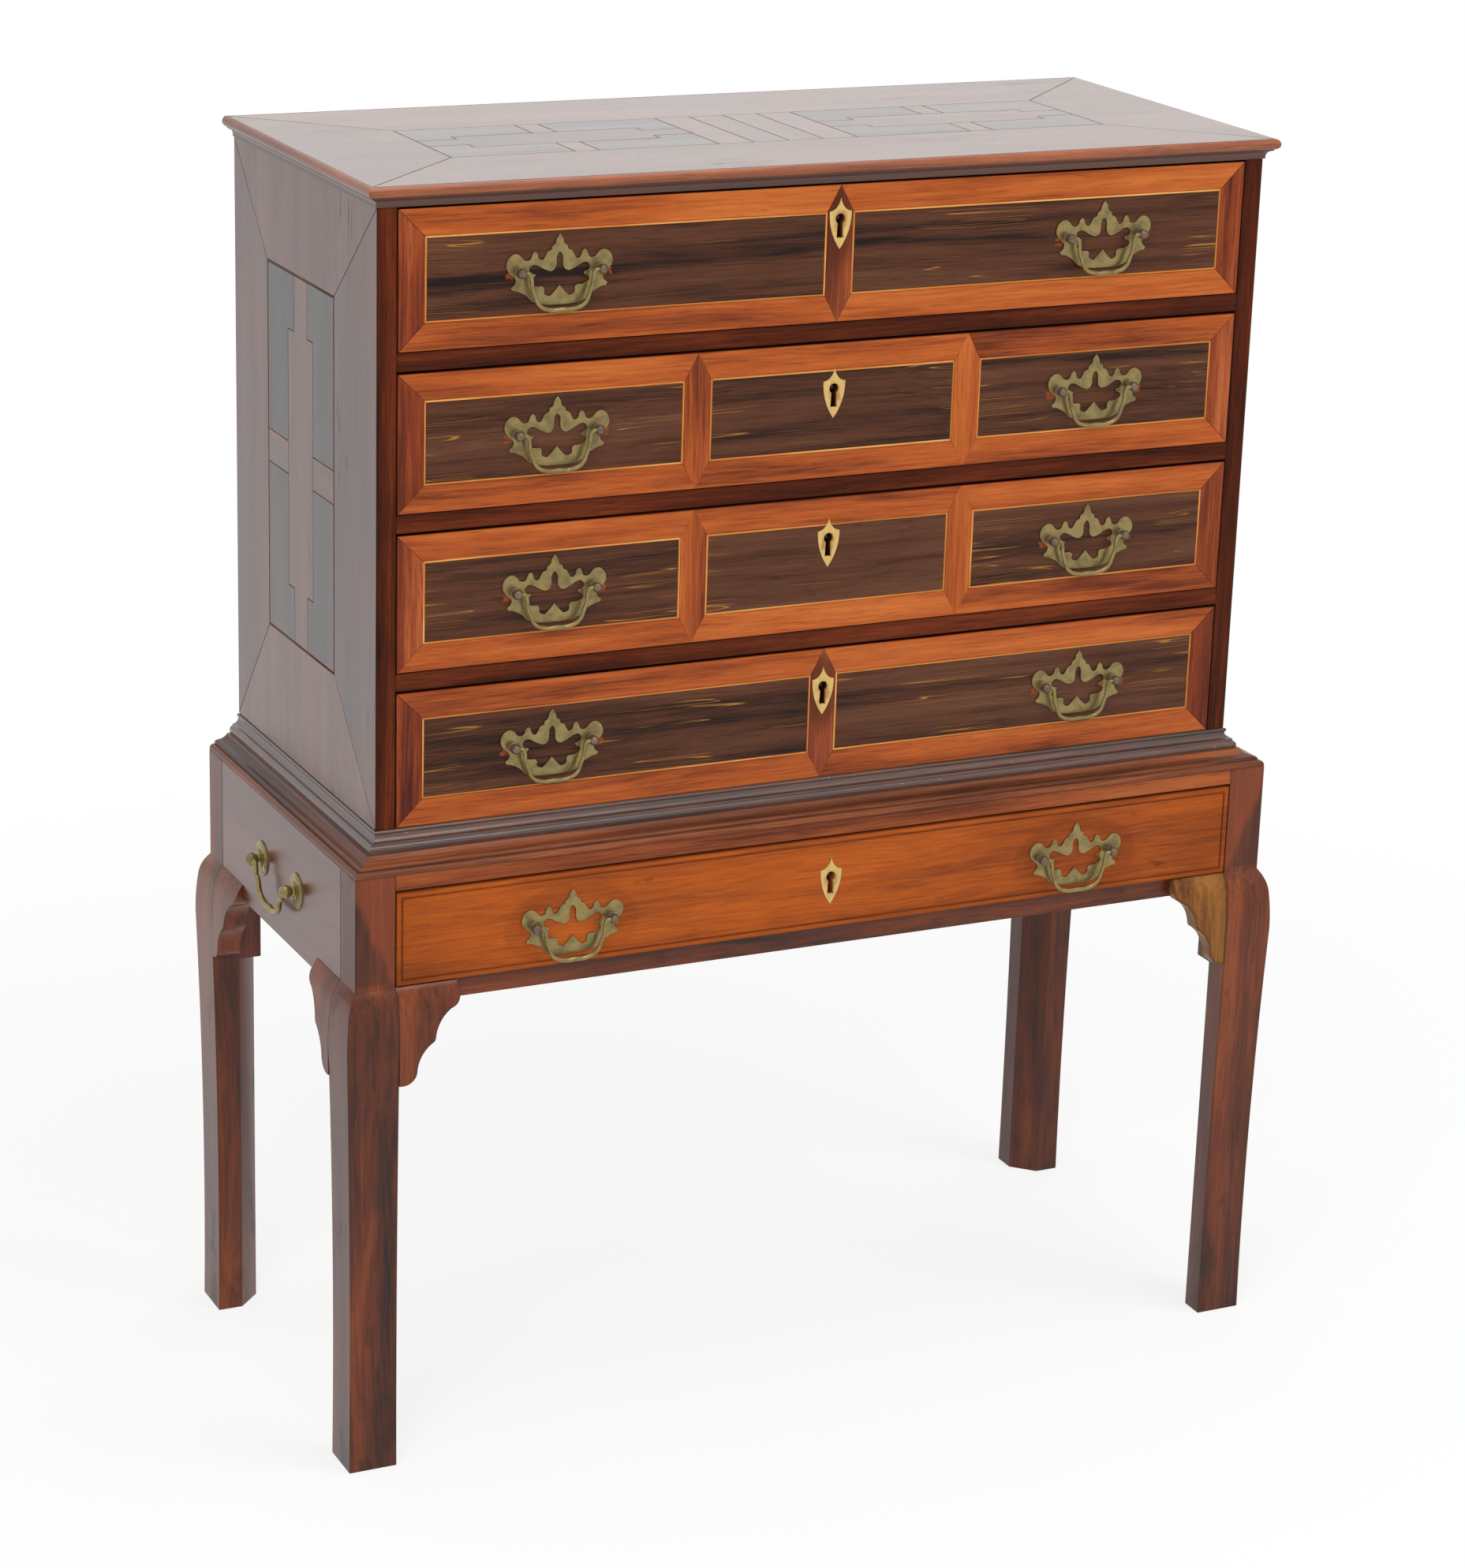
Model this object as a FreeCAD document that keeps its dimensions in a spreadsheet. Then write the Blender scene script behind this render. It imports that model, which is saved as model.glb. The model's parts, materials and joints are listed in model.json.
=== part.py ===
import FreeCAD, Part
import math
import os
import Sketcher

# A chest of four drawers on a stand with one drawer, in millimetres, +Z up, front towards -Y.

SIZES = {
    # chest carcass
    "carcass_width": 880.0,
    "carcass_depth": 371.0,
    "total_height": 1187.0,
    "side_thick": 18.0,
    "top_thick": 19.0,
    "bottom_thick": 18.0,
    "rail_thick": 16.5,
    "rail_depth": 70.0,
    "housing_depth": 6.0,
    "housing_setback": 8.0,
    "back_thick": 9.0,
    "back_rabbet": 9.0,
    "back_joint": 0.6,
    "runner_width": 24.0,
    # mouldings
    "top_projection": 12.0,
    "waist_projection": 10.0,
    "waist_height": 18.5,
    "stand_moulding_height": 14.5,
    "stand_moulding_setback": 0.5,
    "chest_seat_clearance": 1.0,
    # stand
    "stand_step": 31.0,
    "stand_height": 577.0,
    "post_size": 38.0,
    "knee_gap": 0.5,
    "knee_out": 12.0,
    "knee_shoulder": 22.0,
    "knee_fall": 60.0,
    "foot_out": 8.5,
    "leg_chamfer": 22.0,
    "leg_chamfer_height": 372.0,
    "apron_height": 122.0,
    "apron_thick": 20.0,
    "tenon_length": 18.0,
    "tenon_thick": 8.0,
    "tenon_shoulder": 10.0,
    "stand_top_rail": 14.5,
    "stand_top_rail_depth": 60.0,
    "stand_bottom_rail": 19.5,
    "stand_bottom_rail_depth": 40.0,
    "bottom_rail_recess": 6.0,
    "stand_drawer_opening": 91.0,
    "guide_height": 44.0,
    "stand_runner_width": 20.0,
    "bracket_width": 59.0,
    "bracket_height": 91.0,
    "bracket_back": 12.0,
    # drawers
    "drawer_side_gap": 1.2,
    "drawer_gap_below": 0.8,
    "drawer_gap_above": 2.4,
    "runner_clearance": 0.3,
    "drawer_length": 350.0,
    "stand_drawer_length": 366.0,
    "front_thick": 19.0,
    "dovetail_lap": 7.0,
    "drawer_side_thick": 10.0,
    "drawer_side_drop": 5.0,
    "drawer_back_thick": 9.0,
    "drawer_back_drop": 12.0,
    "drawer_bottom_thick": 7.0,
    "drawer_bottom_lift": 6.0,
    "groove_depth": 5.0,
    # veneer
    "leaf_thick": 1.2,
    "leaf_joint": 0.25,
    "banding_width": 24.0,
    "string_width": 1.6,
    "lozenge_width": 25.4,
    "lozenge_offset": 136.0,
    "bead_inset": 4.5,
    "bead_width": 1.4,
    "bead_depth": 0.9,
    # pulls
    "pull_offset": 272.0,
    "stand_pull_offset": 262.0,
    "pull_lift": 1.5,
    "stand_pull_lift": -4.0,
    "pull_spacing": 76.2,
    "plate_thick": 1.6,
    "plate_rise": 31.5,
    "plate_drop": 30.0,
    "pull_standoff": 8.5,
    "pull_head_radius": 4.6,
    "pull_collar_radius": 4.4,
    "pull_collar_thick": 1.4,
    "pull_shaft_radius": 2.1,
    "pull_rod_radius": 2.0,
    "pull_bail_drop": 33.5,
    "pull_bail_corner": 15.0,
    "nut_radius": 6.0,
    "nut_thick": 4.0,
    "shaft_tail": 5.5,
    "bore_clearance": 0.15,
    "pin_clearance": 0.06,
    # carrying handles
    "carry_spacing": 95.5,
    "carry_height": 61.5,
    "carry_rose_radius": 17.0,
    "carry_rose_thick": 2.4,
    "carry_standoff": 10.5,
    "carry_head_radius": 6.2,
    "carry_shaft_radius": 2.8,
    "carry_rod_radius": 2.8,
    "carry_bail_drop": 31.0,
    "carry_bail_corner": 18.0,
    # locks
    "escutcheon_width": 22.0,
    "escutcheon_height": 47.0,
    "escutcheon_inlay": 2.0,
    "escutcheon_proud": 0.5,
    "keyhole_width": 9.0,
    "keyhole_height": 22.0,
    "key_pin_radius": 1.5,
    "key_pin_reach": 8.0,
    "keyhole_drop_1": 36.8,
    "keyhole_drop_2": 47.9,
    "keyhole_drop_3": 44.0,
    "keyhole_drop_4": 42.2,
    "stand_keyhole_drop": 44.0,
    "lock_width": 58.0,
    "lock_thick": 9.0,
    "lock_below_key": 13.5,
    "bolt_width": 24.0,
    "bolt_thick": 5.0,
    "bolt_height": 18.0,
    "bolt_clearance": 0.3,
    "bolt_sink": 0.3,
    "bolt_mortise_depth": 10.0,
    "bolt_mortise_clearance": 1.0,
}

CHEST_DRAWERS = 4
BACK_BOARD_COUNT = 4
CHEST_TAILS = 3
STAND_TAILS = 2
# Half a dovetail's width at its root and tip, in shares of the tails' pitch
TAIL_ROOT = 0.28
TAIL_TIP = 0.38
# Clear overrun of a cutting shape past the face it opens
OVERRUN = 1.0

# Bend of an edge: the rise of its arc over its chord, positive to the left of travel
QUARTER = (math.sqrt(2.0) - 1.0) / 2.0
EARLOBE = 0.34
SLIGHT = 0.12
LEG_SWEEP = 0.0055
KNEE_TURN = 0.072
KNEE_EASE = 0.016
KEY_ROUND = 0.36
SHIELD_BULGE = 0.085
TIP_HOLLOW = 0.07
LOBE = 0.22
# Share of a knee's swell that its rounded shoulder takes
SHOULDER_SHARE = 0.8
# A post's ball head is turned in flats, its pole and its neck in shares of the ball's radius
BALL_POLE = math.sqrt(2.0) - 1.0
BALL_NECK = 0.6
BALL_SHOULDER = 0.82
# A swan neck leans by this share of its drop, and less at its upright ends
NECK_LEAN = 0.3
NECK_CURVE = ((0.0, 0.0), (0.3, 0.16), (0.7, 0.84), (1.0, 1.0))
# A bail is forged eight-sided, a little slimmer than its round pins, and bent in flats
ROD_SIDE_COUNT = 8
ROD_SLIM = 0.97
BEND_FLAT_COUNT = 3

doc = FreeCAD.newDocument("chest_on_stand")
dims = doc.addObject("Spreadsheet::Sheet", "dims")


class Size:
    """A length that carries its value and the sheet expression that gives it."""

    def __init__(self, value, text):
        self.value = value
        self.text = text

    def joined(self, sign, other, value):
        return Size(value, "(%s %s %s)" % (self.text, sign, as_size(other).text))

    def __add__(self, other):
        return self.joined("+", other, self.value + as_size(other).value)

    def __radd__(self, other):
        return as_size(other) + self

    def __sub__(self, other):
        return self.joined("-", other, self.value - as_size(other).value)

    def __rsub__(self, other):
        return as_size(other) - self

    def __mul__(self, other):
        return self.joined("*", other, self.value * as_size(other).value)

    def __rmul__(self, other):
        return as_size(other) * self

    def __truediv__(self, other):
        return self.joined("/", other, self.value / as_size(other).value)

    def __neg__(self):
        return as_size(0.0) - self


def as_size(item):
    return item if isinstance(item, Size) else Size(float(item), "%.6f" % item)


def sheet_size(alias):
    return Size(SIZES[alias], "dims." + alias)


def fill_sheet():
    for row, (alias, value) in enumerate(SIZES.items(), start=1):
        dims.set("A%d" % row, alias)
        dims.set("B%d" % row, "%g" % value)
        dims.setAlias("B%d" % row, alias)
    doc.recompute()


def bind(item, prop, size):
    item.setExpression(prop, as_size(size).text)


def place(item, x=0.0, y=0.0, z=0.0, turn=0.0):
    item.Placement = FreeCAD.Placement(
        FreeCAD.Vector(), FreeCAD.Rotation(FreeCAD.Vector(0, 0, 1), turn)
    )
    for axis, size in (("x", x), ("y", y), ("z", z)):
        bind(item, "Placement.Base." + axis, size)
    return item


# Sketching

def edge_geometry(start, finish, bend):
    """One edge of an outline, with the ends of its geometry where travel starts and stops."""
    first = FreeCAD.Vector(start[0].value, start[1].value, 0)
    last = FreeCAD.Vector(finish[0].value, finish[1].value, 0)
    if not bend:
        return Part.LineSegment(first, last), 1, 2
    chord = last - first
    left = FreeCAD.Vector(-chord.y, chord.x, 0)
    centre = (first + last) * 0.5 + left * (bend - (1 + 4 * bend * bend) / (8 * bend))
    circle = Part.Circle(centre, FreeCAD.Vector(0, 0, 1), (first - centre).Length)
    first_angle = math.atan2(first.y - centre.y, first.x - centre.x)
    last_angle = math.atan2(last.y - centre.y, last.x - centre.x)
    if bend > 0:
        sweep = (first_angle - last_angle) % (2 * math.pi)
        return Part.ArcOfCircle(circle, last_angle, last_angle + sweep), 2, 1
    sweep = (last_angle - first_angle) % (2 * math.pi)
    return Part.ArcOfCircle(circle, first_angle, first_angle + sweep), 1, 2


def draw_outlines(sketch, outlines, circles=(), closed=True):
    """Draw outlines of (x, y) or (x, y, bend) corners, and (x, y, radius) circles, by the sheet."""
    geometry = []
    constraints = []
    bindings = []

    def hold(kind, places, size):
        if "dims." in as_size(size).text:
            bindings.append((len(constraints), size))
        constraints.append(Sketcher.Constraint(kind, *places, as_size(size).value))

    def hold_point(index, end, point):
        hold("DistanceX", (-1, 1, index, end), point[0])
        hold("DistanceY", (-1, 1, index, end), point[1])

    for outline in outlines:
        corners = [(as_size(corner[0]), as_size(corner[1])) for corner in outline]
        bends = [corner[2] if len(corner) > 2 else 0.0 for corner in outline]
        base = len(geometry)
        count = len(corners) if closed else len(corners) - 1
        edges = []
        for step in range(count):
            start, finish = corners[step], corners[(step + 1) % len(corners)]
            item, start_end, finish_end = edge_geometry(start, finish, bends[step])
            geometry.append(item)
            edges.append((base + step, start_end, finish_end))
            hold_point(base + step, start_end, start)
            if bends[step]:
                across, along = finish[0] - start[0], finish[1] - start[1]
                square = across * across + along * along
                chord = Size(math.sqrt(square.value), "sqrt(%s)" % square.text)
                share = abs((1 + 4 * bends[step] ** 2) / (8 * bends[step]))
                hold("Radius", (base + step,), chord * share)
        if not closed:
            hold_point(edges[-1][0], edges[-1][2], corners[-1])
        for step in range(count if closed else count - 1):
            edge, following = edges[step], edges[(step + 1) % count]
            meeting = (edge[0], edge[2], following[0], following[1])
            constraints.append(Sketcher.Constraint("Coincident", *meeting))
    for x, y, radius in circles:
        x, y, radius = as_size(x), as_size(y), as_size(radius)
        centre = FreeCAD.Vector(x.value, y.value, 0)
        geometry.append(Part.Circle(centre, FreeCAD.Vector(0, 0, 1), radius.value))
        hold_point(len(geometry) - 1, 3, (x, y))
        hold("Radius", (len(geometry) - 1,), radius)
    sketch.addGeometry(geometry, False)
    sketch.addConstraint(constraints)
    for index, size in bindings:
        bind(sketch, "Constraints[%d]" % index, size)


def new_sketch(body, name, plane, level):
    """A sketch of the body on its XY, XZ or YZ plane, moved out along that plane's normal."""
    sketch = body.newObject("Sketcher::SketchObject", name)
    role = plane + "_Plane"
    origin_plane = [feature for feature in body.Origin.OriginFeatures if feature.Role == role][0]
    sketch.AttachmentSupport = [(origin_plane, "")]
    sketch.MapMode = "FlatFace"
    bind(sketch, "AttachmentOffset.Base.z", level)
    return sketch


def new_body(name):
    body = doc.addObject("PartDesign::Body", name)
    body.AllowCompound = True
    return body


# Forming

def prism(name, plane, outlines, start, depth, circles=()):
    """Outlines on a plane, padded from start by depth along the third axis."""
    body = new_body(name)
    level = -(start + depth) if plane == "XZ" else start
    sketch = new_sketch(body, name + "_outline", plane, level)
    draw_outlines(sketch, outlines, circles)
    pad = body.newObject("PartDesign::Pad", name + "_pad")
    pad.Profile = sketch
    bind(pad, "Length", depth)
    return body


def turned(name, outline):
    """A turned piece about the Y axis, from (y, radius) corners."""
    body = new_body(name)
    sketch = new_sketch(body, name + "_outline", "YZ", 0.0)
    draw_outlines(sketch, [outline])
    revolution = body.newObject("PartDesign::Revolution", name + "_turn")
    revolution.Profile = sketch
    revolution.ReferenceAxis = (sketch, ["H_Axis"])
    revolution.Angle = 360.0
    return body


def bent_rod(name, path, radius):
    """An eight-sided rod along straight runs in the XZ plane, the first of them along X."""
    body = new_body(name)
    spine = new_sketch(body, name + "_spine", "XZ", 0.0)
    draw_outlines(spine, [path], closed=False)
    section = new_sketch(body, name + "_section", "YZ", path[0][0])
    first = 180.0 / ROD_SIDE_COUNT
    corners = arc_points(0.0, path[0][1], radius, first, first + 360.0, ROD_SIDE_COUNT)
    draw_outlines(section, [corners[:-1]])
    pipe = body.newObject("PartDesign::AdditivePipe", name + "_pipe")
    pipe.Profile = section
    pipe.Spine = (spine, [])
    pipe.Transition = "Right corner"
    return body


def arc_points(x, z, radius, first, last, flats):
    """Corners of a bend about a point, from one angle in degrees to another."""
    angles = [math.radians(first + (last - first) * step / flats) for step in range(flats + 1)]
    return [(x + math.cos(angle) * radius, z + math.sin(angle) * radius) for angle in angles]


def block(name, x_span, y_span, z_span):
    """A squared board between pairs of planes."""
    board = doc.addObject("Part::Box", name)
    spans = (("x", "Length", x_span), ("y", "Width", y_span), ("z", "Height", z_span))
    for axis, prop, (low, high) in spans:
        bind(board, "Placement.Base." + axis, low)
        bind(board, prop, high - low)
    return board


def round_bar(name, radius, start, length, axis):
    """A cylinder from a start point along X or Y."""
    bar = doc.addObject("Part::Cylinder", name)
    bind(bar, "Radius", radius)
    bind(bar, "Height", length)
    along = {"x": FreeCAD.Vector(1, 0, 0), "y": FreeCAD.Vector(0, 1, 0)}[axis]
    bar.Placement = FreeCAD.Placement(
        FreeCAD.Vector(), FreeCAD.Rotation(FreeCAD.Vector(0, 0, 1), along)
    )
    for letter, size in zip("xyz", start):
        bind(bar, "Placement.Base." + letter, size)
    return bar


def grouped(name, pieces):
    group = doc.addObject("Part::Compound", name)
    group.Links = pieces
    return group


def cut(name, base, tools):
    result = doc.addObject("Part::Cut", name)
    result.Base = base
    result.Tool = tools[0] if len(tools) == 1 else grouped(name + "_tools", tools)
    return result


def fused(name, pieces):
    result = doc.addObject("Part::MultiFuse", name)
    result.Shapes = pieces
    return result


def common(name, first, second):
    result = doc.addObject("Part::MultiCommon", name)
    result.Shapes = [first, second]
    return result


def mirrored(name, source, axis, level=0.0):
    """The source seen in a mirror square to an axis."""
    result = doc.addObject("Part::Mirroring", name)
    result.Source = source
    result.Normal = {"x": FreeCAD.Vector(1, 0, 0), "y": FreeCAD.Vector(0, 1, 0)}[axis]
    bind(result, "Base." + axis, level)
    return result


def both_sides(right_half):
    """A clockwise outline from its right half, which starts and ends on the mid line."""
    left_half = []
    for step in range(len(right_half) - 1, 0, -1):
        corner = right_half[step]
        before = right_half[step - 1]
        bend = before[2] if len(before) > 2 else 0.0
        if step == len(right_half) - 1:
            last = right_half[-1]
            left_half.append((last[0], last[1], bend))
        else:
            left_half.append((-as_size(corner[0]), corner[1], bend))
    return [tuple(corner) for corner in right_half[:-1]] + left_half


fill_sheet()
S = {alias: sheet_size(alias) for alias in SIZES}

# Main planes of the chest and the stand

carcass_half = S["carcass_width"] / 2
stand_half = carcass_half + S["stand_step"]
stand_depth = S["carcass_depth"] + S["stand_step"]
pull_reach = S["pull_standoff"] + S["pull_head_radius"]
# The origin stands midway between the foremost pull heads and the hindmost knees
stand_front = (pull_reach - S["knee_out"] - stand_depth) / 2
stand_back = stand_front + stand_depth
stand_middle = (stand_front + stand_back) / 2
chest_back = stand_back
chest_front = chest_back - S["carcass_depth"]
waist_base = S["stand_height"] + S["stand_moulding_height"]
chest_floor = waist_base + S["waist_height"]
top_base = S["total_height"] - S["top_thick"]
opening_half = carcass_half - S["side_thick"]
opening_height = (top_base - chest_floor - (CHEST_DRAWERS - 1) * S["rail_thick"]) / CHEST_DRAWERS
drawer_pitch = opening_height + S["rail_thick"]
apron_base = S["stand_height"] - S["apron_height"]
carry_level = apron_base + S["carry_height"]
post_inner = stand_half - S["post_size"]
stand_opening_top = S["stand_height"] - S["stand_top_rail"]
stand_opening_base = stand_opening_top - S["stand_drawer_opening"]
# Knees and brackets rise to just below the floor that the stand drawer slides over
knee_top = stand_opening_base - S["knee_gap"]

nodes = []


def node(item, label):
    """Keep a finished piece under the name of its file."""
    item.Label = label
    nodes.append(item)
    return item


def opening_base(number):
    """Floor of a chest drawer's opening, drawer 1 at the top."""
    return chest_floor + (CHEST_DRAWERS - number) * drawer_pitch


def bolt_mortise(name, front, floor):
    """The socket that a drawer's lock bolt rises into, in the wood above the drawer."""
    room = S["bolt_mortise_clearance"]
    half = S["bolt_width"] / 2 + room
    back = front + S["front_thick"] - (S["lock_thick"] - S["bolt_thick"]) / 2
    return block(
        name, (-half, half), (back - S["bolt_thick"] - room, back + room),
        (floor - OVERRUN, floor + S["bolt_mortise_depth"]),
    )


# Chest carcass

def make_top_board():
    board = block(
        "top_blank", (-carcass_half, carcass_half), (chest_front, chest_back),
        (top_base, S["total_height"]),
    )
    node(cut("top_cut", board, [bolt_mortise("top_mortise", chest_front, top_base)]), "top_board")


def make_sides():
    rabbet = S["back_rabbet"]
    rabbet_face = chest_back - S["back_thick"]
    section = [
        (-carcass_half, chest_front), (-carcass_half, chest_back), (-carcass_half + rabbet, chest_back),
        (-carcass_half + rabbet, rabbet_face), (-opening_half, rabbet_face), (-opening_half, chest_front),
    ]
    blank = prism("side_blank", "XY", [section], S["stand_height"], top_base - S["stand_height"])
    across = (-opening_half - S["housing_depth"], -opening_half + OVERRUN)
    along = (chest_front + S["housing_setback"], rabbet_face)
    housings = [block("housing_floor", across, along, (chest_floor - S["bottom_thick"], chest_floor))]
    for number in range(1, CHEST_DRAWERS):
        level = opening_base(number)
        housings.append(block("housing_%d" % number, across, along, (level - S["rail_thick"], level)))
    left = node(cut("left_side_cut", blank, housings), "left_side")
    node(mirrored("right_side_cut", left, "x"), "right_side")


def housed_board(name, back, z_span):
    """A board between the sides whose ends sit in housings that stop short of the front."""
    end = opening_half + S["housing_depth"]
    shoulder = chest_front + S["housing_setback"]
    outline = [
        (-opening_half, chest_front), (-opening_half, shoulder), (-end, shoulder), (-end, back),
        (end, back), (end, shoulder), (opening_half, shoulder), (opening_half, chest_front),
    ]
    return prism(name, "XY", [outline], z_span[0], z_span[1] - z_span[0])


def make_chest_bottom():
    span = (chest_floor - S["bottom_thick"], chest_floor)
    node(housed_board("bottom_board", chest_back - S["back_thick"], span), "chest_bottom")


def make_divider_rails():
    rails = []
    for number in range(1, CHEST_DRAWERS):
        level = opening_base(number)
        name = "rail_%d" % number
        underside = level - S["rail_thick"]
        blank = housed_board(name + "_blank", chest_front + S["rail_depth"], (underside, level))
        rails.append(cut(name, blank, [bolt_mortise(name + "_mortise", chest_front, underside)]))
    node(grouped("rails", rails), "divider_rails")


def make_back_boards():
    half = carcass_half - S["back_rabbet"]
    pitch = 2 * half / BACK_BOARD_COUNT
    boards = []
    for number in range(BACK_BOARD_COUNT):
        left = -half + number * pitch
        boards.append(block(
            "back_board_%d" % number, (left, left + pitch - S["back_joint"]),
            (chest_back - S["back_thick"], chest_back), (S["stand_height"], top_base),
        ))
    node(grouped("back_board_group", boards), "back_boards")


def make_runners():
    """Chest runners in the side housings, and the stand's runners, guides and bearers."""
    pieces = []
    inner = opening_half - S["runner_width"]
    along = (chest_front + S["rail_depth"], chest_back - S["back_thick"])
    for number in range(1, CHEST_DRAWERS):
        level = opening_base(number)
        name = "runner_%d" % number
        span = (level - S["rail_thick"], level)
        pieces.append(block(name, (-opening_half - S["housing_depth"], -inner), along, span))
    between_posts = (stand_front + S["post_size"], stand_back - S["post_size"])
    apron_inner = stand_half - S["apron_thick"]
    ledge = post_inner - S["stand_runner_width"]
    runner_base = stand_opening_base - S["stand_bottom_rail"]
    rail_back = stand_front + S["bottom_rail_recess"] + S["stand_bottom_rail_depth"]
    back_inner = stand_back - S["apron_thick"]
    guide_span = (runner_base, runner_base + S["guide_height"])
    guide = block("guide", (-apron_inner, -post_inner), between_posts, guide_span)
    ledge_span = (runner_base, stand_opening_base)
    ledge_runner = block("stand_ledge", (-post_inner, -ledge), (rail_back, back_inner), ledge_span)
    pieces.append(fused("stand_runner", [guide, ledge_runner]))
    top_span = (stand_opening_top, S["stand_height"])
    top_rail_back = stand_front + S["stand_top_rail_depth"]
    filler = block("bearer_filler", (-apron_inner, -post_inner), between_posts, top_span)
    bearer = block("bearer_strip", (-post_inner, -ledge), (top_rail_back, back_inner), top_span)
    pieces.append(fused("stand_bearer", [filler, bearer]))
    left = grouped("left_runners", pieces)
    node(grouped("runner_pair", [left, mirrored("right_runners", left, "x")]), "drawer_runners")


# Mouldings

def moulding(label, profile, base, half, front, reach, depth):
    """Front and side lengths of a moulding, mitred at the corners of a plan.

    The profile's corners are (outward from the plan, above the base). Reach and depth are its
    greatest spread outside and inside the plan.
    """
    out, within = reach + OVERRUN, depth + OVERRUN
    front_bar = prism(
        label + "_front_bar", "YZ", [[(front - u, base + w, -bend) for u, w, bend in profile]],
        -half - out, 2 * (half + out),
    )
    front_plan = prism(
        label + "_front_plan", "XY",
        [[(-half - out, front - out), (-half + within, front + within),
          (half - within, front + within), (half + out, front - out)]],
        base - OVERRUN, S["total_height"],
    )
    side_bar = prism(
        label + "_side_bar", "XZ", [[(half + u, base + w, bend) for u, w, bend in profile]],
        front - out, chest_back - front + out,
    )
    side_plan = prism(
        label + "_side_plan", "XY",
        [[(half + out, front - out), (half - within, front + within), (half - within, chest_back),
          (half + out, chest_back)]],
        base - OVERRUN, S["total_height"],
    )
    front_length = common(label + "_front", front_bar, front_plan)
    right_length = common(label + "_right", side_bar, side_plan)
    left_length = mirrored(label + "_left", right_length, "x")
    node(grouped(label + "_lengths", [front_length, left_length, right_length]), label)


def make_mouldings():
    out, high = S["top_projection"], S["top_thick"]
    top_profile = [
        (0.0, 0.0, 0), (0.0, high, 0), (0.73 * out, high, EARLOBE), (0.73 * out, 0.5 * high, 0),
        (0.62 * out, 0.5 * high, 0), (0.62 * out, 0.42 * high, -QUARTER), (0.15 * out, 0.08 * high, 0),
        (0.15 * out, 0.0, 0),
    ]
    moulding("top_moulding", top_profile, top_base, carcass_half, chest_front, out, 0.0)
    out, high = S["waist_projection"], S["waist_height"]
    waist_profile = [
        (0.0, 0.0, 0), (0.0, high, 0),
        (0.14 * out, high, EARLOBE), (0.14 * out, 0.82 * high, -QUARTER),
        (0.62 * out, 0.48 * high, 0), (0.72 * out, 0.48 * high, 0), (0.72 * out, 0.38 * high, QUARTER),
        (out, 0.12 * high, 0), (out, 0.0, 0),
    ]
    moulding("waist_moulding", waist_profile, waist_base, carcass_half, chest_front, out, 0.0)
    edge = -S["stand_moulding_setback"]
    deep, high = S["stand_step"] - S["chest_seat_clearance"], S["stand_moulding_height"]
    stand_profile = [
        (-deep, 0.0, 0), (-deep, high, 0),
        (-0.62 * deep, high, -SLIGHT), (-0.3 * deep, 0.62 * high, SLIGHT),
        (-0.18 * deep, 0.5 * high, 0), (-0.18 * deep, 0.36 * high, QUARTER), (edge, 0.14 * high, 0),
        (edge, 0.0, 0),
    ]
    moulding("stand_moulding", stand_profile, S["stand_height"], stand_half, stand_front, 0.0, deep)


# Stand

def knee_curve(face):
    """The swell of a knee below its post: a rounded shoulder, then a long ease to its fullest."""
    return [
        (face, knee_top, -KNEE_TURN),
        (face - SHOULDER_SHARE * S["knee_out"], knee_top - S["knee_shoulder"], -KNEE_EASE),
    ]


def knee_outline(face, inner):
    """Outline of a leg in one upright plane: post, swelling knee, tapered leg and flat foot."""
    foot = face - S["foot_out"]
    return [(inner, 0.0), (inner, S["stand_height"]), (face, S["stand_height"])] + knee_curve(face) + [
        (face - S["knee_out"], knee_top - S["knee_fall"], LEG_SWEEP), (foot, 0.0),
    ]


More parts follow.
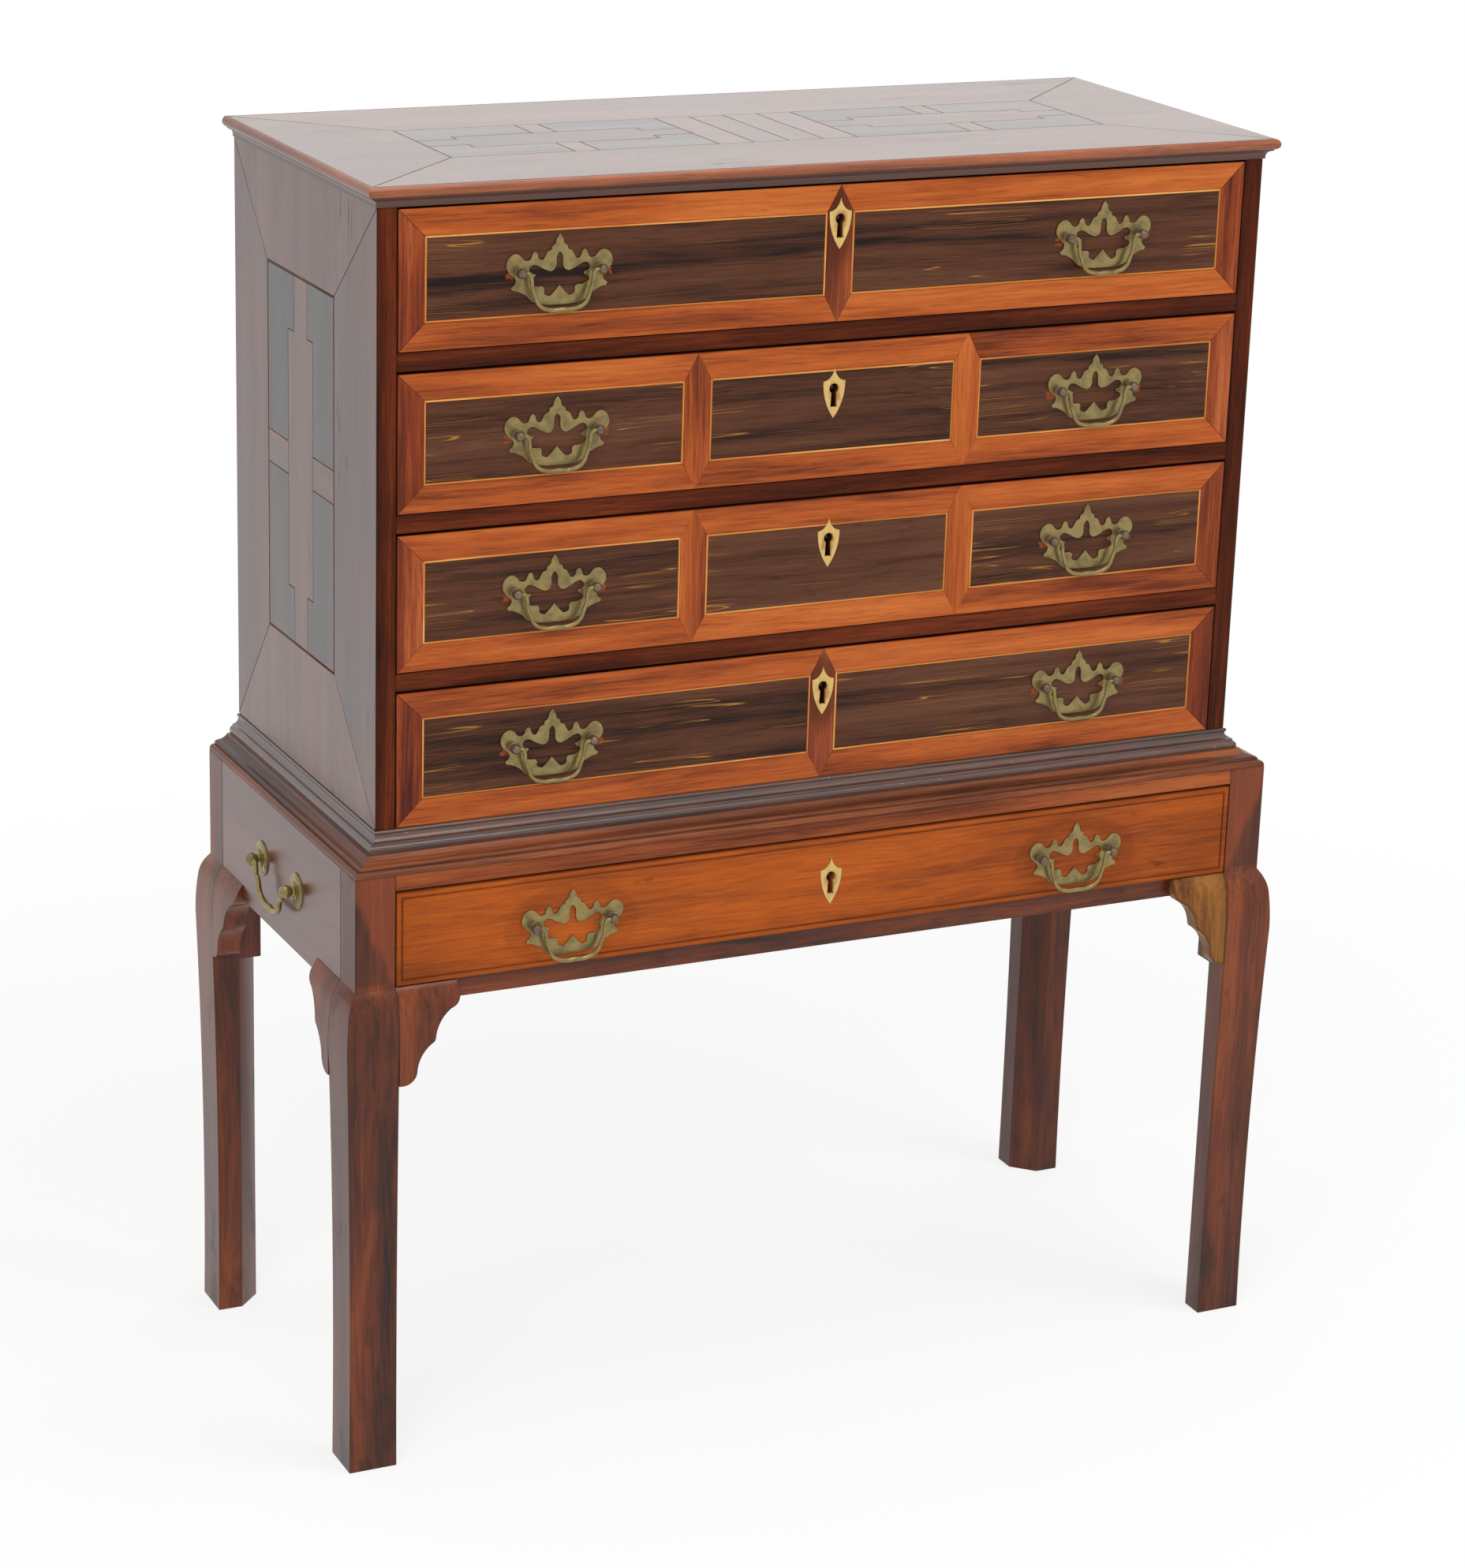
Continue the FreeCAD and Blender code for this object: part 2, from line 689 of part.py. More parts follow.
def make_legs():
    size = S["post_size"]
    height = S["stand_height"]
    inner_y = stand_front + size
    spread = S["knee_out"] + OVERRUN
    front_view = prism(
        "leg_front_view", "XZ", [knee_outline(-stand_half, -post_inner)], stand_front - spread,
        size + spread,
    )
    side_view = prism(
        "leg_side_view", "YZ", [knee_outline(stand_front, inner_y)], -stand_half - spread,
        size + spread,
    )
    sawn = common("leg_sawn", front_view, side_view)
    chamfer = S["leg_chamfer"]
    corner = prism(
        "leg_chamfer_cut", "XY",
        [[(-post_inner + OVERRUN, inner_y - chamfer - OVERRUN),
          (-post_inner - chamfer - OVERRUN, inner_y + OVERRUN),
          (-post_inner + OVERRUN, inner_y + OVERRUN)]],
        -OVERRUN, S["leg_chamfer_height"] + OVERRUN,
    )
    blank = cut("leg_blank", sawn, [corner])
    back_blank = mirrored("back_leg_blank", blank, "y", stand_middle)
    tenon = S["tenon_thick"] / 2
    apron_mid = S["apron_thick"] / 2
    tenon_z = (apron_base + S["tenon_shoulder"], height - S["tenon_shoulder"])
    end = S["tenon_length"]
    side_x = (-stand_half + apron_mid - tenon, -stand_half + apron_mid + tenon)
    front_side_mortise = block("front_side_mortise", side_x, (inner_y - end, inner_y + OVERRUN), tenon_z)
    back_y = stand_back - size
    back_side_mortise = block("back_side_mortise", side_x, (back_y - OVERRUN, back_y + end), tenon_z)
    into_post = (-post_inner - end, -post_inner + OVERRUN)
    back_mid = stand_back - apron_mid
    back_mortise = block("back_mortise", into_post, (back_mid - tenon, back_mid + tenon), tenon_z)
    front_mortises = [front_side_mortise]
    for index, spans in enumerate(front_rail_tenons()):
        front_mortises.append(block("rail_mortise_%d" % index, into_post, *spans))
    front_left = cut("leg_front_left_cut", blank, front_mortises)
    back_left = cut("leg_back_left_cut", back_blank, [back_side_mortise, back_mortise])
    node(front_left, "leg_front_left")
    node(back_left, "leg_back_left")
    node(mirrored("leg_front_right_cut", front_left, "x"), "leg_front_right")
    node(mirrored("leg_back_right_cut", back_left, "x"), "leg_back_right")


def front_rail_tenons():
    """Spans in Y and Z of the front rails' tenons, top then bottom, clear of the side apron's."""
    start = stand_front + S["bottom_rail_recess"]
    along = (start, stand_front + S["apron_thick"] - S["tenon_thick"] / 2)
    thin = S["tenon_shoulder"] / 4
    bottom_low = stand_opening_base - S["stand_bottom_rail"]
    return [
        (along, (stand_opening_top + thin, S["stand_height"] - thin)),
        (along, (bottom_low + thin, stand_opening_base - thin)),
    ]


def make_front_rails():
    width = (-post_inner, post_inner)
    end = post_inner + S["tenon_length"]
    top_y = (stand_front, stand_front + S["stand_top_rail_depth"])
    recess = stand_front + S["bottom_rail_recess"]
    bottom_y = (recess, recess + S["stand_bottom_rail_depth"])
    bottom_z = (stand_opening_base - S["stand_bottom_rail"], stand_opening_base)
    bodies = [
        block("top_rail_body", width, top_y, (stand_opening_top, S["stand_height"])),
        block("bottom_rail_body", width, bottom_y, bottom_z),
    ]
    rails = []
    for name, body, spans in zip(("top_rail", "bottom_rail"), bodies, front_rail_tenons()):
        tenon = block(name + "_tenon", (-end, end), *spans)
        rails.append(fused(name + "_joined", [body, tenon]))
    mortise = bolt_mortise("stand_mortise", stand_front, stand_opening_top)
    rails[0] = cut("top_rail_cut", rails[0], [mortise])
    node(grouped("front_rails", rails), "stand_front_rails")


def make_aprons():
    thick, length = S["apron_thick"], S["tenon_length"]
    full_z = (apron_base, S["stand_height"])
    tenon_z = (apron_base + S["tenon_shoulder"], S["stand_height"] - S["tenon_shoulder"])
    middle, half = thick / 2, S["tenon_thick"] / 2
    front_y, back_y = stand_front + S["post_size"], stand_back - S["post_size"]
    side_body = block("side_apron_body", (-stand_half, -stand_half + thick), (front_y, back_y), full_z)
    side_tenon = block(
        "side_apron_tenon", (-stand_half + middle - half, -stand_half + middle + half),
        (front_y - length, back_y + length), tenon_z,
    )
    blank = fused("side_apron_blank", [side_body, side_tenon])
    bores = []
    for index, sign in enumerate((-1, 1)):
        at = stand_middle + sign * S["carry_spacing"] / 2
        radius = S["carry_shaft_radius"] + S["bore_clearance"]
        start = (-stand_half - OVERRUN, at, carry_level)
        bores.append(round_bar("carry_bore_%d" % index, radius, start, thick + 2 * OVERRUN, "x"))
    left = cut("left_apron", blank, bores)
    right = mirrored("right_apron", left, "x")
    back_span = (stand_back - thick, stand_back)
    back_body = block("back_apron_body", (-post_inner, post_inner), back_span, full_z)
    back_tenon = block(
        "back_apron_tenon", (-post_inner - length, post_inner + length),
        (stand_back - middle - half, stand_back - middle + half), tenon_z,
    )
    back = fused("back_apron", [back_body, back_tenon])
    node(grouped("apron_group", [left, right, back]), "stand_aprons")


def bracket_outline(edge):
    """A scrolled bracket below a rail, from the leg's edge outwards."""
    wide, high, top = S["bracket_width"], S["bracket_height"], knee_top
    return [
        (edge, top), (edge + wide, top), (edge + wide, top - 0.08 * high, LOBE),
        (edge + 0.86 * wide, top - 0.25 * high, -SLIGHT), (edge + 0.59 * wide, top - 0.54 * high),
        (edge + 0.57 * wide, top - 0.57 * high, -SLIGHT), (edge + 0.29 * wide, top - 0.85 * high, LOBE),
        (edge + 0.05 * wide, top - high), (edge, top - high),
    ]


def knee_section(face, back):
    """Section of a bracket: the knee's rounded top edge and swelling face."""
    knee = face - S["knee_out"]
    low = knee_top - S["bracket_height"] - OVERRUN
    return knee_curve(face) + [
        (knee, knee_top - S["knee_fall"]), (knee, low), (back, low), (back, knee_top),
    ]


def make_knee_brackets():
    reach = S["bracket_width"] + OVERRUN
    thick = S["knee_out"] + S["bracket_back"] + OVERRUN
    inner_y = stand_front + S["post_size"]
    rail_face = stand_front + S["bottom_rail_recess"]
    front_outline = prism(
        "front_bracket_outline", "XZ", [bracket_outline(-post_inner)],
        stand_front - S["knee_out"] - OVERRUN, thick,
    )
    front_section = prism(
        "front_bracket_section", "YZ", [knee_section(stand_front, rail_face)],
        -post_inner - OVERRUN, reach + OVERRUN,
    )
    front_left = common("front_left_bracket", front_outline, front_section)
    side_outline = prism(
        "side_bracket_outline", "YZ", [bracket_outline(inner_y)],
        -stand_half - S["knee_out"] - OVERRUN, thick,
    )
    side_section = prism(
        "side_bracket_section", "XZ", [knee_section(-stand_half, -stand_half + S["bracket_back"])],
        inner_y - OVERRUN, reach + OVERRUN,
    )
    side_whole = common("side_bracket_whole", side_outline, side_section)
    apron_room = block(
        "side_bracket_room", (-stand_half, -stand_half + S["apron_thick"]),
        (inner_y - OVERRUN, inner_y + reach), (apron_base, S["stand_height"]),
    )
    side_front = cut("side_front_bracket", side_whole, [apron_room])
    side_back = mirrored("side_back_bracket", side_front, "y", stand_middle)
    left = grouped("left_brackets", [front_left, side_front, side_back])
    node(grouped("bracket_group", [left, mirrored("right_brackets", left, "x")]), "knee_brackets")


# Drawers, drawn about the middle of the front's lower edge, with the front's face at y = 0

def tail_side(name, half_width, height, length, tails):
    """The left side of a drawer: tails that spread into the front's sockets and through the back."""
    shoulder, tip = S["front_thick"], S["dovetail_lap"]
    pitch = height / tails
    low = S["runner_clearance"] - S["drawer_gap_below"]
    high = low + height
    back = length - S["drawer_back_thick"]
    root, spread = TAIL_ROOT * pitch, TAIL_TIP * pitch
    middles = [low + (number + 0.5) * pitch for number in range(tails)]
    outline = [(shoulder, low)]
    for middle in middles:
        outline += [
            (shoulder, middle - root), (tip, middle - spread), (tip, middle + spread),
            (shoulder, middle + root),
        ]
    outline += [(shoulder, high), (back, high)]
    for middle in reversed(middles):
        outline += [
            (back, middle + root), (length, middle + spread), (length, middle - spread),
            (back, middle - root),
        ]
    outline.append((back, low))
    return prism(name, "YZ", [outline], -half_width, S["drawer_side_thick"])


def make_box(kind, half_width, height, length, tails):
    """Sides, back and bottom of one kind of drawer, and the pieces that cut its front's joints."""
    side_height = height - S["drawer_side_drop"]
    side_blank = tail_side(kind + "_side_blank", half_width, side_height, length, tails)
    inner = half_width - S["drawer_side_thick"]
    edge = inner + S["groove_depth"]
    lift, thick = S["drawer_bottom_lift"], S["drawer_bottom_thick"]
    bottom = block(
        kind + "_bottom", (-edge, edge), (S["front_thick"] - S["groove_depth"], length),
        (lift, lift + thick),
    )
    left = cut(kind + "_left_side", side_blank, [bottom])
    right = mirrored(kind + "_right_side", left, "x")
    back_blank = block(
        kind + "_back_blank", (-half_width, half_width), (length - S["drawer_back_thick"], length),
        (lift + thick, height - S["drawer_back_drop"]),
    )
    back = cut(kind + "_back", back_blank, [left, right])
    box = grouped(kind + "_box", [left, right, back, bottom])
    return box, [left, right, bottom]


def lozenge_outline(middle, height, width, shoulder):
    half = width / 2
    return [
        (middle, height), (middle + half, height - shoulder), (middle + half, shoulder),
        (middle, 0.0), (middle - half, shoulder), (middle - half, height - shoulder),
    ]


def make_leaf_blank(half_width, height):
    """Mitred banding, string lines and the panel of a chest drawer, before the lozenges are let in."""
    gap = S["leaf_joint"]
    band = S["banding_width"]
    mitre = gap / math.sqrt(2.0)

    def frame_pieces(near, far):
        """Four mitred strips between two insets from the drawer's edge."""
        outer_x, outer_z = half_width - near, height - near
        inner_x, inner_z = half_width - far, height - far
        return [
            [(-outer_x + mitre, outer_z), (outer_x - mitre, outer_z), (inner_x - mitre, inner_z),
             (-inner_x + mitre, inner_z)],
            [(-outer_x + mitre, near), (-inner_x + mitre, far), (inner_x - mitre, far),
             (outer_x - mitre, near)],
            [(-outer_x, near + mitre), (-outer_x, outer_z - mitre), (-inner_x, inner_z - mitre),
             (-inner_x, far + mitre)],
            [(outer_x, near + mitre), (inner_x, far + mitre), (inner_x, inner_z - mitre),
             (outer_x, outer_z - mitre)],
        ]

    start = band + gap
    panel = start + S["string_width"] + gap
    x, top = half_width - panel, height - panel
    outlines = frame_pieces(0.0, band) + frame_pieces(start, start + S["string_width"])
    outlines.append([(-x, panel), (-x, top), (x, top), (x, panel)])
    return prism("leaf_blank", "XZ", outlines, 0.0, S["leaf_thick"])


def keyhole_outline(level):
    """A round head over a spreading slot."""
    half, high = S["keyhole_width"] / 2, S["keyhole_height"]
    return both_sides([
        (0.0, level + 0.5 * high, KEY_ROUND), (0.6 * half, level + 0.1 * high),
        (0.74 * half, level - 0.5 * high), (0.0, level - 0.5 * high),
    ])


def escutcheon_outline(level):
    """A shield with a finial over hollow shoulders, and sides that bulge down to a point."""
    half, high = S["escutcheon_width"] / 2, S["escutcheon_height"]
    return both_sides([
        (0.0, level + 0.55 * high, -TIP_HOLLOW), (0.3 * half, level + 0.37 * high, -SLIGHT),
        (half, level + 0.28 * high, SHIELD_BULGE), (0.0, level - 0.45 * high),
    ])


def make_front(label, level, half_width, height, core_cuts, pull_x, pull_z, key_z, leaves):
    """A drawer front with its joints, bores, lock recess and the leaves laid on its face."""
    thick = S["front_thick"]
    face = S["leaf_thick"] if leaves else 0.0
    core = block(label + "_core", (-half_width, half_width), (face, thick), (0.0, height))
    radius = S["pull_shaft_radius"] + S["bore_clearance"]
    through = thick + 2 * OVERRUN
    bores = []
    for side in (-1, 1):
        for post in (-1, 1):
            x = side * pull_x + post * S["pull_spacing"] / 2
            name = "%s_bore_%d%d" % (label, side + 1, post + 1)
            bores.append(round_bar(name, radius, (x, -OVERRUN, pull_z), through, "y"))
    keyhole = prism(label + "_keyhole", "XZ", [keyhole_outline(key_z)], -OVERRUN, through)
    inlay = prism(
        label + "_inlay", "XZ", [escutcheon_outline(key_z)], -OVERRUN, S["escutcheon_inlay"] + OVERRUN,
    )
    half_lock = S["lock_width"] / 2
    recess = block(
        label + "_lock_recess", (-half_lock, half_lock), (thick - S["lock_thick"], thick + OVERRUN),
        (key_z - S["lock_below_key"], height + OVERRUN),
    )
    tools = bores + [keyhole, inlay]
    pieces = [cut(label + "_core_cut", core, core_cuts + tools + [recess])]
    pieces += [cut(leaf.Name + "_" + label, leaf, tools) for leaf in leaves]
    node(place(grouped(label + "_front_pieces", pieces), 0.0, level[0], level[1]), label + "_front")


def make_leaves(label, height, leaf_blank, middles):
    """The leaves of one chest drawer, with its lozenges let in across the banding and the panel."""
    shoulder = S["banding_width"]
    width, gap = S["lozenge_width"], S["leaf_joint"]
    lozenges = prism(
        label + "_lozenges", "XZ", [lozenge_outline(x, height, width, shoulder) for x in middles],
        0.0, S["leaf_thick"],
    )
    room = prism(
        label + "_lozenge_room", "XZ",
        [lozenge_outline(x, height, width + 2 * gap, shoulder) for x in middles],
        -OVERRUN, S["leaf_thick"] + 2 * OVERRUN,
    )
    string, start = S["string_width"], S["banding_width"] + gap
    finish = height - start
    strings, string_rooms = [], []
    for x in middles:
        for sign in (-1, 1):
            side = x + sign * width / 2
            near, far = side + sign * gap, side + sign * (gap + string)
            beyond = side + sign * (2 * gap + string)
            strings.append([(near, start), (near, finish), (far, finish), (far, start)])
            string_rooms.append([(side, start), (side, finish), (beyond, finish), (beyond, start)])
    upright = prism(label + "_strings", "XZ", strings, 0.0, S["leaf_thick"])
    string_room = prism(
        label + "_string_room", "XZ", string_rooms, -OVERRUN, S["leaf_thick"] + 2 * OVERRUN,
    )
    return [cut(label + "_leaves", leaf_blank, [room, string_room]), lozenges, upright]


def scratch_bead(half_width, height):
    """A thin groove all round the stand drawer's front, just inside its edge."""
    near, far = S["bead_inset"], S["bead_inset"] + S["bead_width"]
    outlines = []
    for inset in (near, far):
        x, top = half_width - inset, height - inset
        outlines.append([(-x, inset), (-x, top), (x, top), (x, inset)])
    return prism("scratch_bead", "XZ", outlines, -OVERRUN, S["bead_depth"] + OVERRUN)


# Pulls and handles, drawn about the point midway between the posts

def plate_outlines():
    """Scrolled outline and piercing of a plate, in shares of the post spacing, rise and drop."""
    half, rise, drop = S["pull_spacing"] / 2, S["plate_rise"], S["plate_drop"]
    outer = [
        (0.0, rise, -SLIGHT), (0.12 * half, 0.7 * rise, SLIGHT), (0.33 * half, 0.47 * rise, -SLIGHT),
        (0.44 * half, 0.27 * rise, -SLIGHT), (0.62 * half, 0.52 * rise, -SLIGHT),
        (0.75 * half, 0.3 * rise, -SLIGHT), (0.88 * half, 0.43 * rise, EARLOBE),
        (1.32 * half, 0.25 * rise, EARLOBE), (1.2 * half, -0.14 * drop, -SLIGHT),
        (1.28 * half, -0.41 * drop), (1.08 * half, -0.5 * drop, -SLIGHT),
        (0.71 * half, -0.72 * drop, SLIGHT), (0.37 * half, -0.96 * drop), (0.0, -drop),
    ]
    inner = [
        (0.0, 0.51 * rise, SLIGHT), (0.09 * half, 0.4 * rise), (0.09 * half, 0.12 * rise, -QUARTER),
        (0.3 * half, -0.13 * drop, -QUARTER), (0.4 * half, 0.08 * rise, SLIGHT),
        (0.56 * half, 0.25 * rise, SLIGHT), (0.71 * half, 0.17 * rise, -SLIGHT),
        (0.62 * half, -0.07 * drop, -SLIGHT), (0.71 * half, -0.31 * drop),
        (0.4 * half, -0.37 * drop, -SLIGHT), (0.32 * half, -0.63 * drop),
        (0.22 * half, -0.65 * drop, -SLIGHT), (0.0, -0.39 * drop),
    ]
    return [both_sides(outer), both_sides(inner)]


def make_post(name, standoff, head, collar, collar_base, collar_thick, shaft, tail, rod):
    """A turned post: pierced ball head, neck, collar that seats on the face, and a long shaft."""
    seat = -collar_base
    neck = BALL_NECK * head
    pole = BALL_POLE * head
    ball = turned(name + "_turned", [
        (-standoff - head, 0.0), (-standoff - head, pole), (-standoff - pole, head), (-standoff + pole, head),
        (-standoff + BALL_SHOULDER * head, neck), (seat - collar_thick, neck), (seat - collar_thick, collar),
        (seat, collar), (seat, shaft), (tail, shaft), (tail, 0.0),
    ])
    start = (-head - OVERRUN, -standoff, 0.0)
    eye = round_bar(name + "_eye", rod + S["pin_clearance"], start, 2 * (head + OVERRUN), "x")
    return cut(name, ball, [eye])


def make_nut(name, shaft, seat):
    """A square nut on the shaft, tight against the inner face."""
    half = S["nut_radius"]
    square = [(-half, -half), (-half, half), (half, half), (half, -half)]
    return prism(name, "XZ", [square], seat, S["nut_thick"], [(0.0, 0.0, shaft)])


def make_bail(name, spacing, drop, corner, rod, head):
    """A swan-neck bail hanging from two posts, its round pins turned out into their eyes."""
    turn = 1.7 * rod
    root = spacing / 2 - head
    pin_length = 1.5 * head
    arm = root - turn
    neck_drop = drop - turn - corner
    lean = NECK_LEAN * neck_drop
    low = arm - lean
    right = [(root + 0.5 * head, 0.0)] + arc_points(root, -turn, turn, 90.0, 180.0, BEND_FLAT_COUNT)
    right += [(arm - across * lean, -turn - down * neck_drop) for down, across in NECK_CURVE[1:-1]]
    right += arc_points(low - corner, corner - drop, corner, 0.0, -90.0, BEND_FLAT_COUNT)
    path = right + [(-x, z) for x, z in reversed(right)]
    bar = bent_rod(name + "_bar", path, ROD_SLIM * rod)
    pins = [
        round_bar(name + "_pin_right", rod, (root, 0.0, 0.0), pin_length, "x"),
        round_bar(name + "_pin_left", rod, (-root - pin_length, 0.0, 0.0), pin_length, "x"),
    ]
    return fused(name, [bar] + pins)


def make_pull():
    """One pull without its bail: pierced plate, two posts and two nuts."""
    half = S["pull_spacing"] / 2
    shaft = S["pull_shaft_radius"]
    hole = shaft + S["bore_clearance"]
    plate = prism(
        "pull_plate", "XZ", plate_outlines(), -S["plate_thick"], S["plate_thick"],
        [(-half, 0.0, hole), (half, 0.0, hole)],
    )
    tail = S["front_thick"] + S["shaft_tail"]
    post = make_post(
        "pull_post", S["pull_standoff"], S["pull_head_radius"], S["pull_collar_radius"],
        S["plate_thick"], S["pull_collar_thick"], shaft, tail, S["pull_rod_radius"],
    )
    nut = make_nut("pull_nut", shaft, S["front_thick"])
    fixing = grouped("pull_fixing", [post, nut])
    left = place(grouped("pull_fixing_left", [fixing]), -half)
    right = place(grouped("pull_fixing_right", [fixing]), half)
    return grouped("pull", [plate, left, right])


def make_drawer_fittings(label, level, pull, bail, pull_x, pull_z, key_z, height):
    """Pulls, bails, escutcheon, lock and bolt of one drawer, set in its place."""
    y, z = level
    pulls = [
        place(grouped("%s_pull_%d" % (label, index), [pull]), sign * pull_x, y, z + pull_z)
        for index, sign in enumerate((-1, 1))
    ]
    node(grouped(label + "_pull_pair", pulls), label + "_pulls")
    for sign, name in ((-1, "left"), (1, "right")):
        hung = grouped("%s_bail_%s_hung" % (label, name), [bail])
        place(hung, sign * pull_x, y - S["pull_standoff"], z + pull_z)
        node(hung, "%s_bail_%s" % (label, name))
    proud = S["escutcheon_proud"]
    shield = prism(
        label + "_shield", "XZ", [escutcheon_outline(key_z), keyhole_outline(key_z)], -proud,
        proud + S["escutcheon_inlay"],
    )
    node(place(grouped(label + "_shield_set", [shield]), 0.0, y, z), label + "_escutcheon")
    half_lock, half_bolt = S["lock_width"] / 2, S["bolt_width"] / 2
    front_y, back_y = S["front_thick"] - S["lock_thick"], S["front_thick"]
    case = block(
        label + "_case", (-half_lock, half_lock), (front_y, back_y),
        (key_z - S["lock_below_key"], height),
    )
    slack = S["bolt_clearance"]
    bolt_back = back_y - (S["lock_thick"] - S["bolt_thick"]) / 2
    bolt_y = (bolt_back - S["bolt_thick"], bolt_back)
    bolt_top = height - S["bolt_sink"]
    bolt_base = bolt_top - S["bolt_height"]
    bolt = block(label + "_bolt_bar", (-half_bolt, half_bolt), bolt_y, (bolt_base, bolt_top))
    channel = block(
        label + "_channel", (-half_bolt - slack, half_bolt + slack),
        (bolt_y[0] - slack, bolt_y[1] + slack), (bolt_base - slack, height + OVERRUN),
    )
    key_room = prism(
        label + "_key_room", "XZ", [keyhole_outline(key_z)], front_y - OVERRUN,
        bolt_y[0] - front_y + OVERRUN,
    )
    hollow = cut(label + "_lock_cut", case, [channel, key_room])
    reach = S["key_pin_reach"]
    pin_place = (0.0, bolt_y[0] - reach, key_z + 0.3 * S["keyhole_height"])
    pin = round_bar(label + "_key_pin", S["key_pin_radius"], pin_place, reach + slack, "y")
    lock = fused(label + "_lock_pinned", [hollow, pin])
    node(place(grouped(label + "_lock_set", [lock]), 0.0, y, z), label + "_lock")
    node(place(grouped(label + "_bolt_set", [bolt]), 0.0, y, z), label + "_bolt")


def make_drawers():
    pull = make_pull()
    bail = make_bail(
        "pull_bail", S["pull_spacing"], S["pull_bail_drop"], S["pull_bail_corner"],
        S["pull_rod_radius"], S["pull_head_radius"],
    )
    gaps = S["drawer_gap_below"] + S["drawer_gap_above"]
    half_width = opening_half - S["drawer_side_gap"]
    height = opening_height - gaps
    box, cutters = make_box("chest", half_width, height, S["drawer_length"], CHEST_TAILS)
    leaf_blank = make_leaf_blank(half_width, height)
    pull_z = height / 2 + S["pull_lift"]
    pairs = (-S["lozenge_offset"], S["lozenge_offset"])
    lozenge_places = {1: (0.0,), 2: pairs, 3: pairs, 4: (0.0,)}
    for number in range(1, CHEST_DRAWERS + 1):
        label = "drawer_%d" % number
        level = (chest_front, opening_base(number) + S["drawer_gap_below"])
        key_z = height - S["keyhole_drop_%d" % number]
        leaves = make_leaves(label, height, leaf_blank, lozenge_places[number])
        make_front(label, level, half_width, height, cutters, S["pull_offset"], pull_z, key_z, leaves)
        node(place(grouped(label + "_box_set", [box]), 0.0, *level), label + "_box")
        make_drawer_fittings(label, level, pull, bail, S["pull_offset"], pull_z, key_z, height)

    half_width = post_inner - S["drawer_side_gap"]
    height = S["stand_drawer_opening"] - gaps
    box, cutters = make_box("stand", half_width, height, S["stand_drawer_length"], STAND_TAILS)
    level = (stand_front, stand_opening_base + S["drawer_gap_below"])
    pull_z = height / 2 + S["stand_pull_lift"]
    key_z = height - S["stand_keyhole_drop"]
    cutters.append(scratch_bead(half_width, height))
    make_front(
        "stand_drawer", level, half_width, height, cutters, S["stand_pull_offset"], pull_z, key_z, [],
    )
    node(place(grouped("stand_drawer_box_set", [box]), 0.0, *level), "stand_drawer_box")
    make_drawer_fittings("stand_drawer", level, pull, bail, S["stand_pull_offset"], pull_z, key_z, height)


def make_carry_handles():
    """A carrying handle on each side apron: two roses with posts and nuts, and a swinging bail."""
    half = S["carry_spacing"] / 2
    shaft = S["carry_shaft_radius"]
    tail = S["apron_thick"] + S["shaft_tail"]
    post = make_post(
        "carry_post", S["carry_standoff"], S["carry_head_radius"], S["carry_rose_radius"], 0.0,
        S["carry_rose_thick"], shaft, tail, S["carry_rod_radius"],
    )
    nut = make_nut("carry_nut", shaft, S["apron_thick"])
    fixing = grouped("carry_fixing", [post, nut])
    front = place(grouped("carry_fixing_front", [fixing]), -half)
    back = place(grouped("carry_fixing_back", [fixing]), half)
    pair = grouped("carry_pair", [front, back])
    bail = make_bail(
        "carry_bail", S["carry_spacing"], S["carry_bail_drop"], S["carry_bail_corner"],
        S["carry_rod_radius"], S["carry_head_radius"],
    )
    roses = []
    for sign, name in ((-1, "left"), (1, "right")):
        turn = sign * 90.0
        seated = grouped("carry_roses_" + name, [pair])
        roses.append(place(seated, sign * stand_half, stand_middle, carry_level, turn))
        hung = grouped("carry_bail_%s_hung" % name, [bail])
        place(hung, sign * (stand_half + S["carry_standoff"]), stand_middle, carry_level, turn)
        node(hung, "carry_bail_" + name)
    node(grouped("carry_rose_group", roses), "carry_handle_roses")


def write_nodes():
    """Stop on anything that failed, then write each piece to its own file."""
    doc.recompute()
    for item in doc.Objects:
        if "Invalid" in item.State or "Error" in item.State:
            raise RuntimeError("failed: %s %s" % (item.Name, item.State))
    for item in nodes:
        if item.Shape.isNull() or not item.Shape.isValid() or not item.Shape.Solids:
            raise RuntimeError("bad shape: " + item.Label)
    os.makedirs("parts", exist_ok=True)
    for item in nodes:
        item.Shape.exportStep(os.path.join("parts", item.Label + ".step"))


make_top_board()
make_sides()
make_chest_bottom()
make_divider_rails()
make_back_boards()
make_runners()
make_mouldings()
make_legs()
make_front_rails()
make_aprons()
make_knee_brackets()
make_drawers()
make_carry_handles()
write_nodes()
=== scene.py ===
"""A veneered chest of four drawers on a stand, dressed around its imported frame.

Lengths are metres in the frame's own axes: +Z up, +X to the right, drawers opening towards -Y.
"""

import functools
import json
import math
import random

import bmesh
import bpy
from mathutils import Matrix, Vector


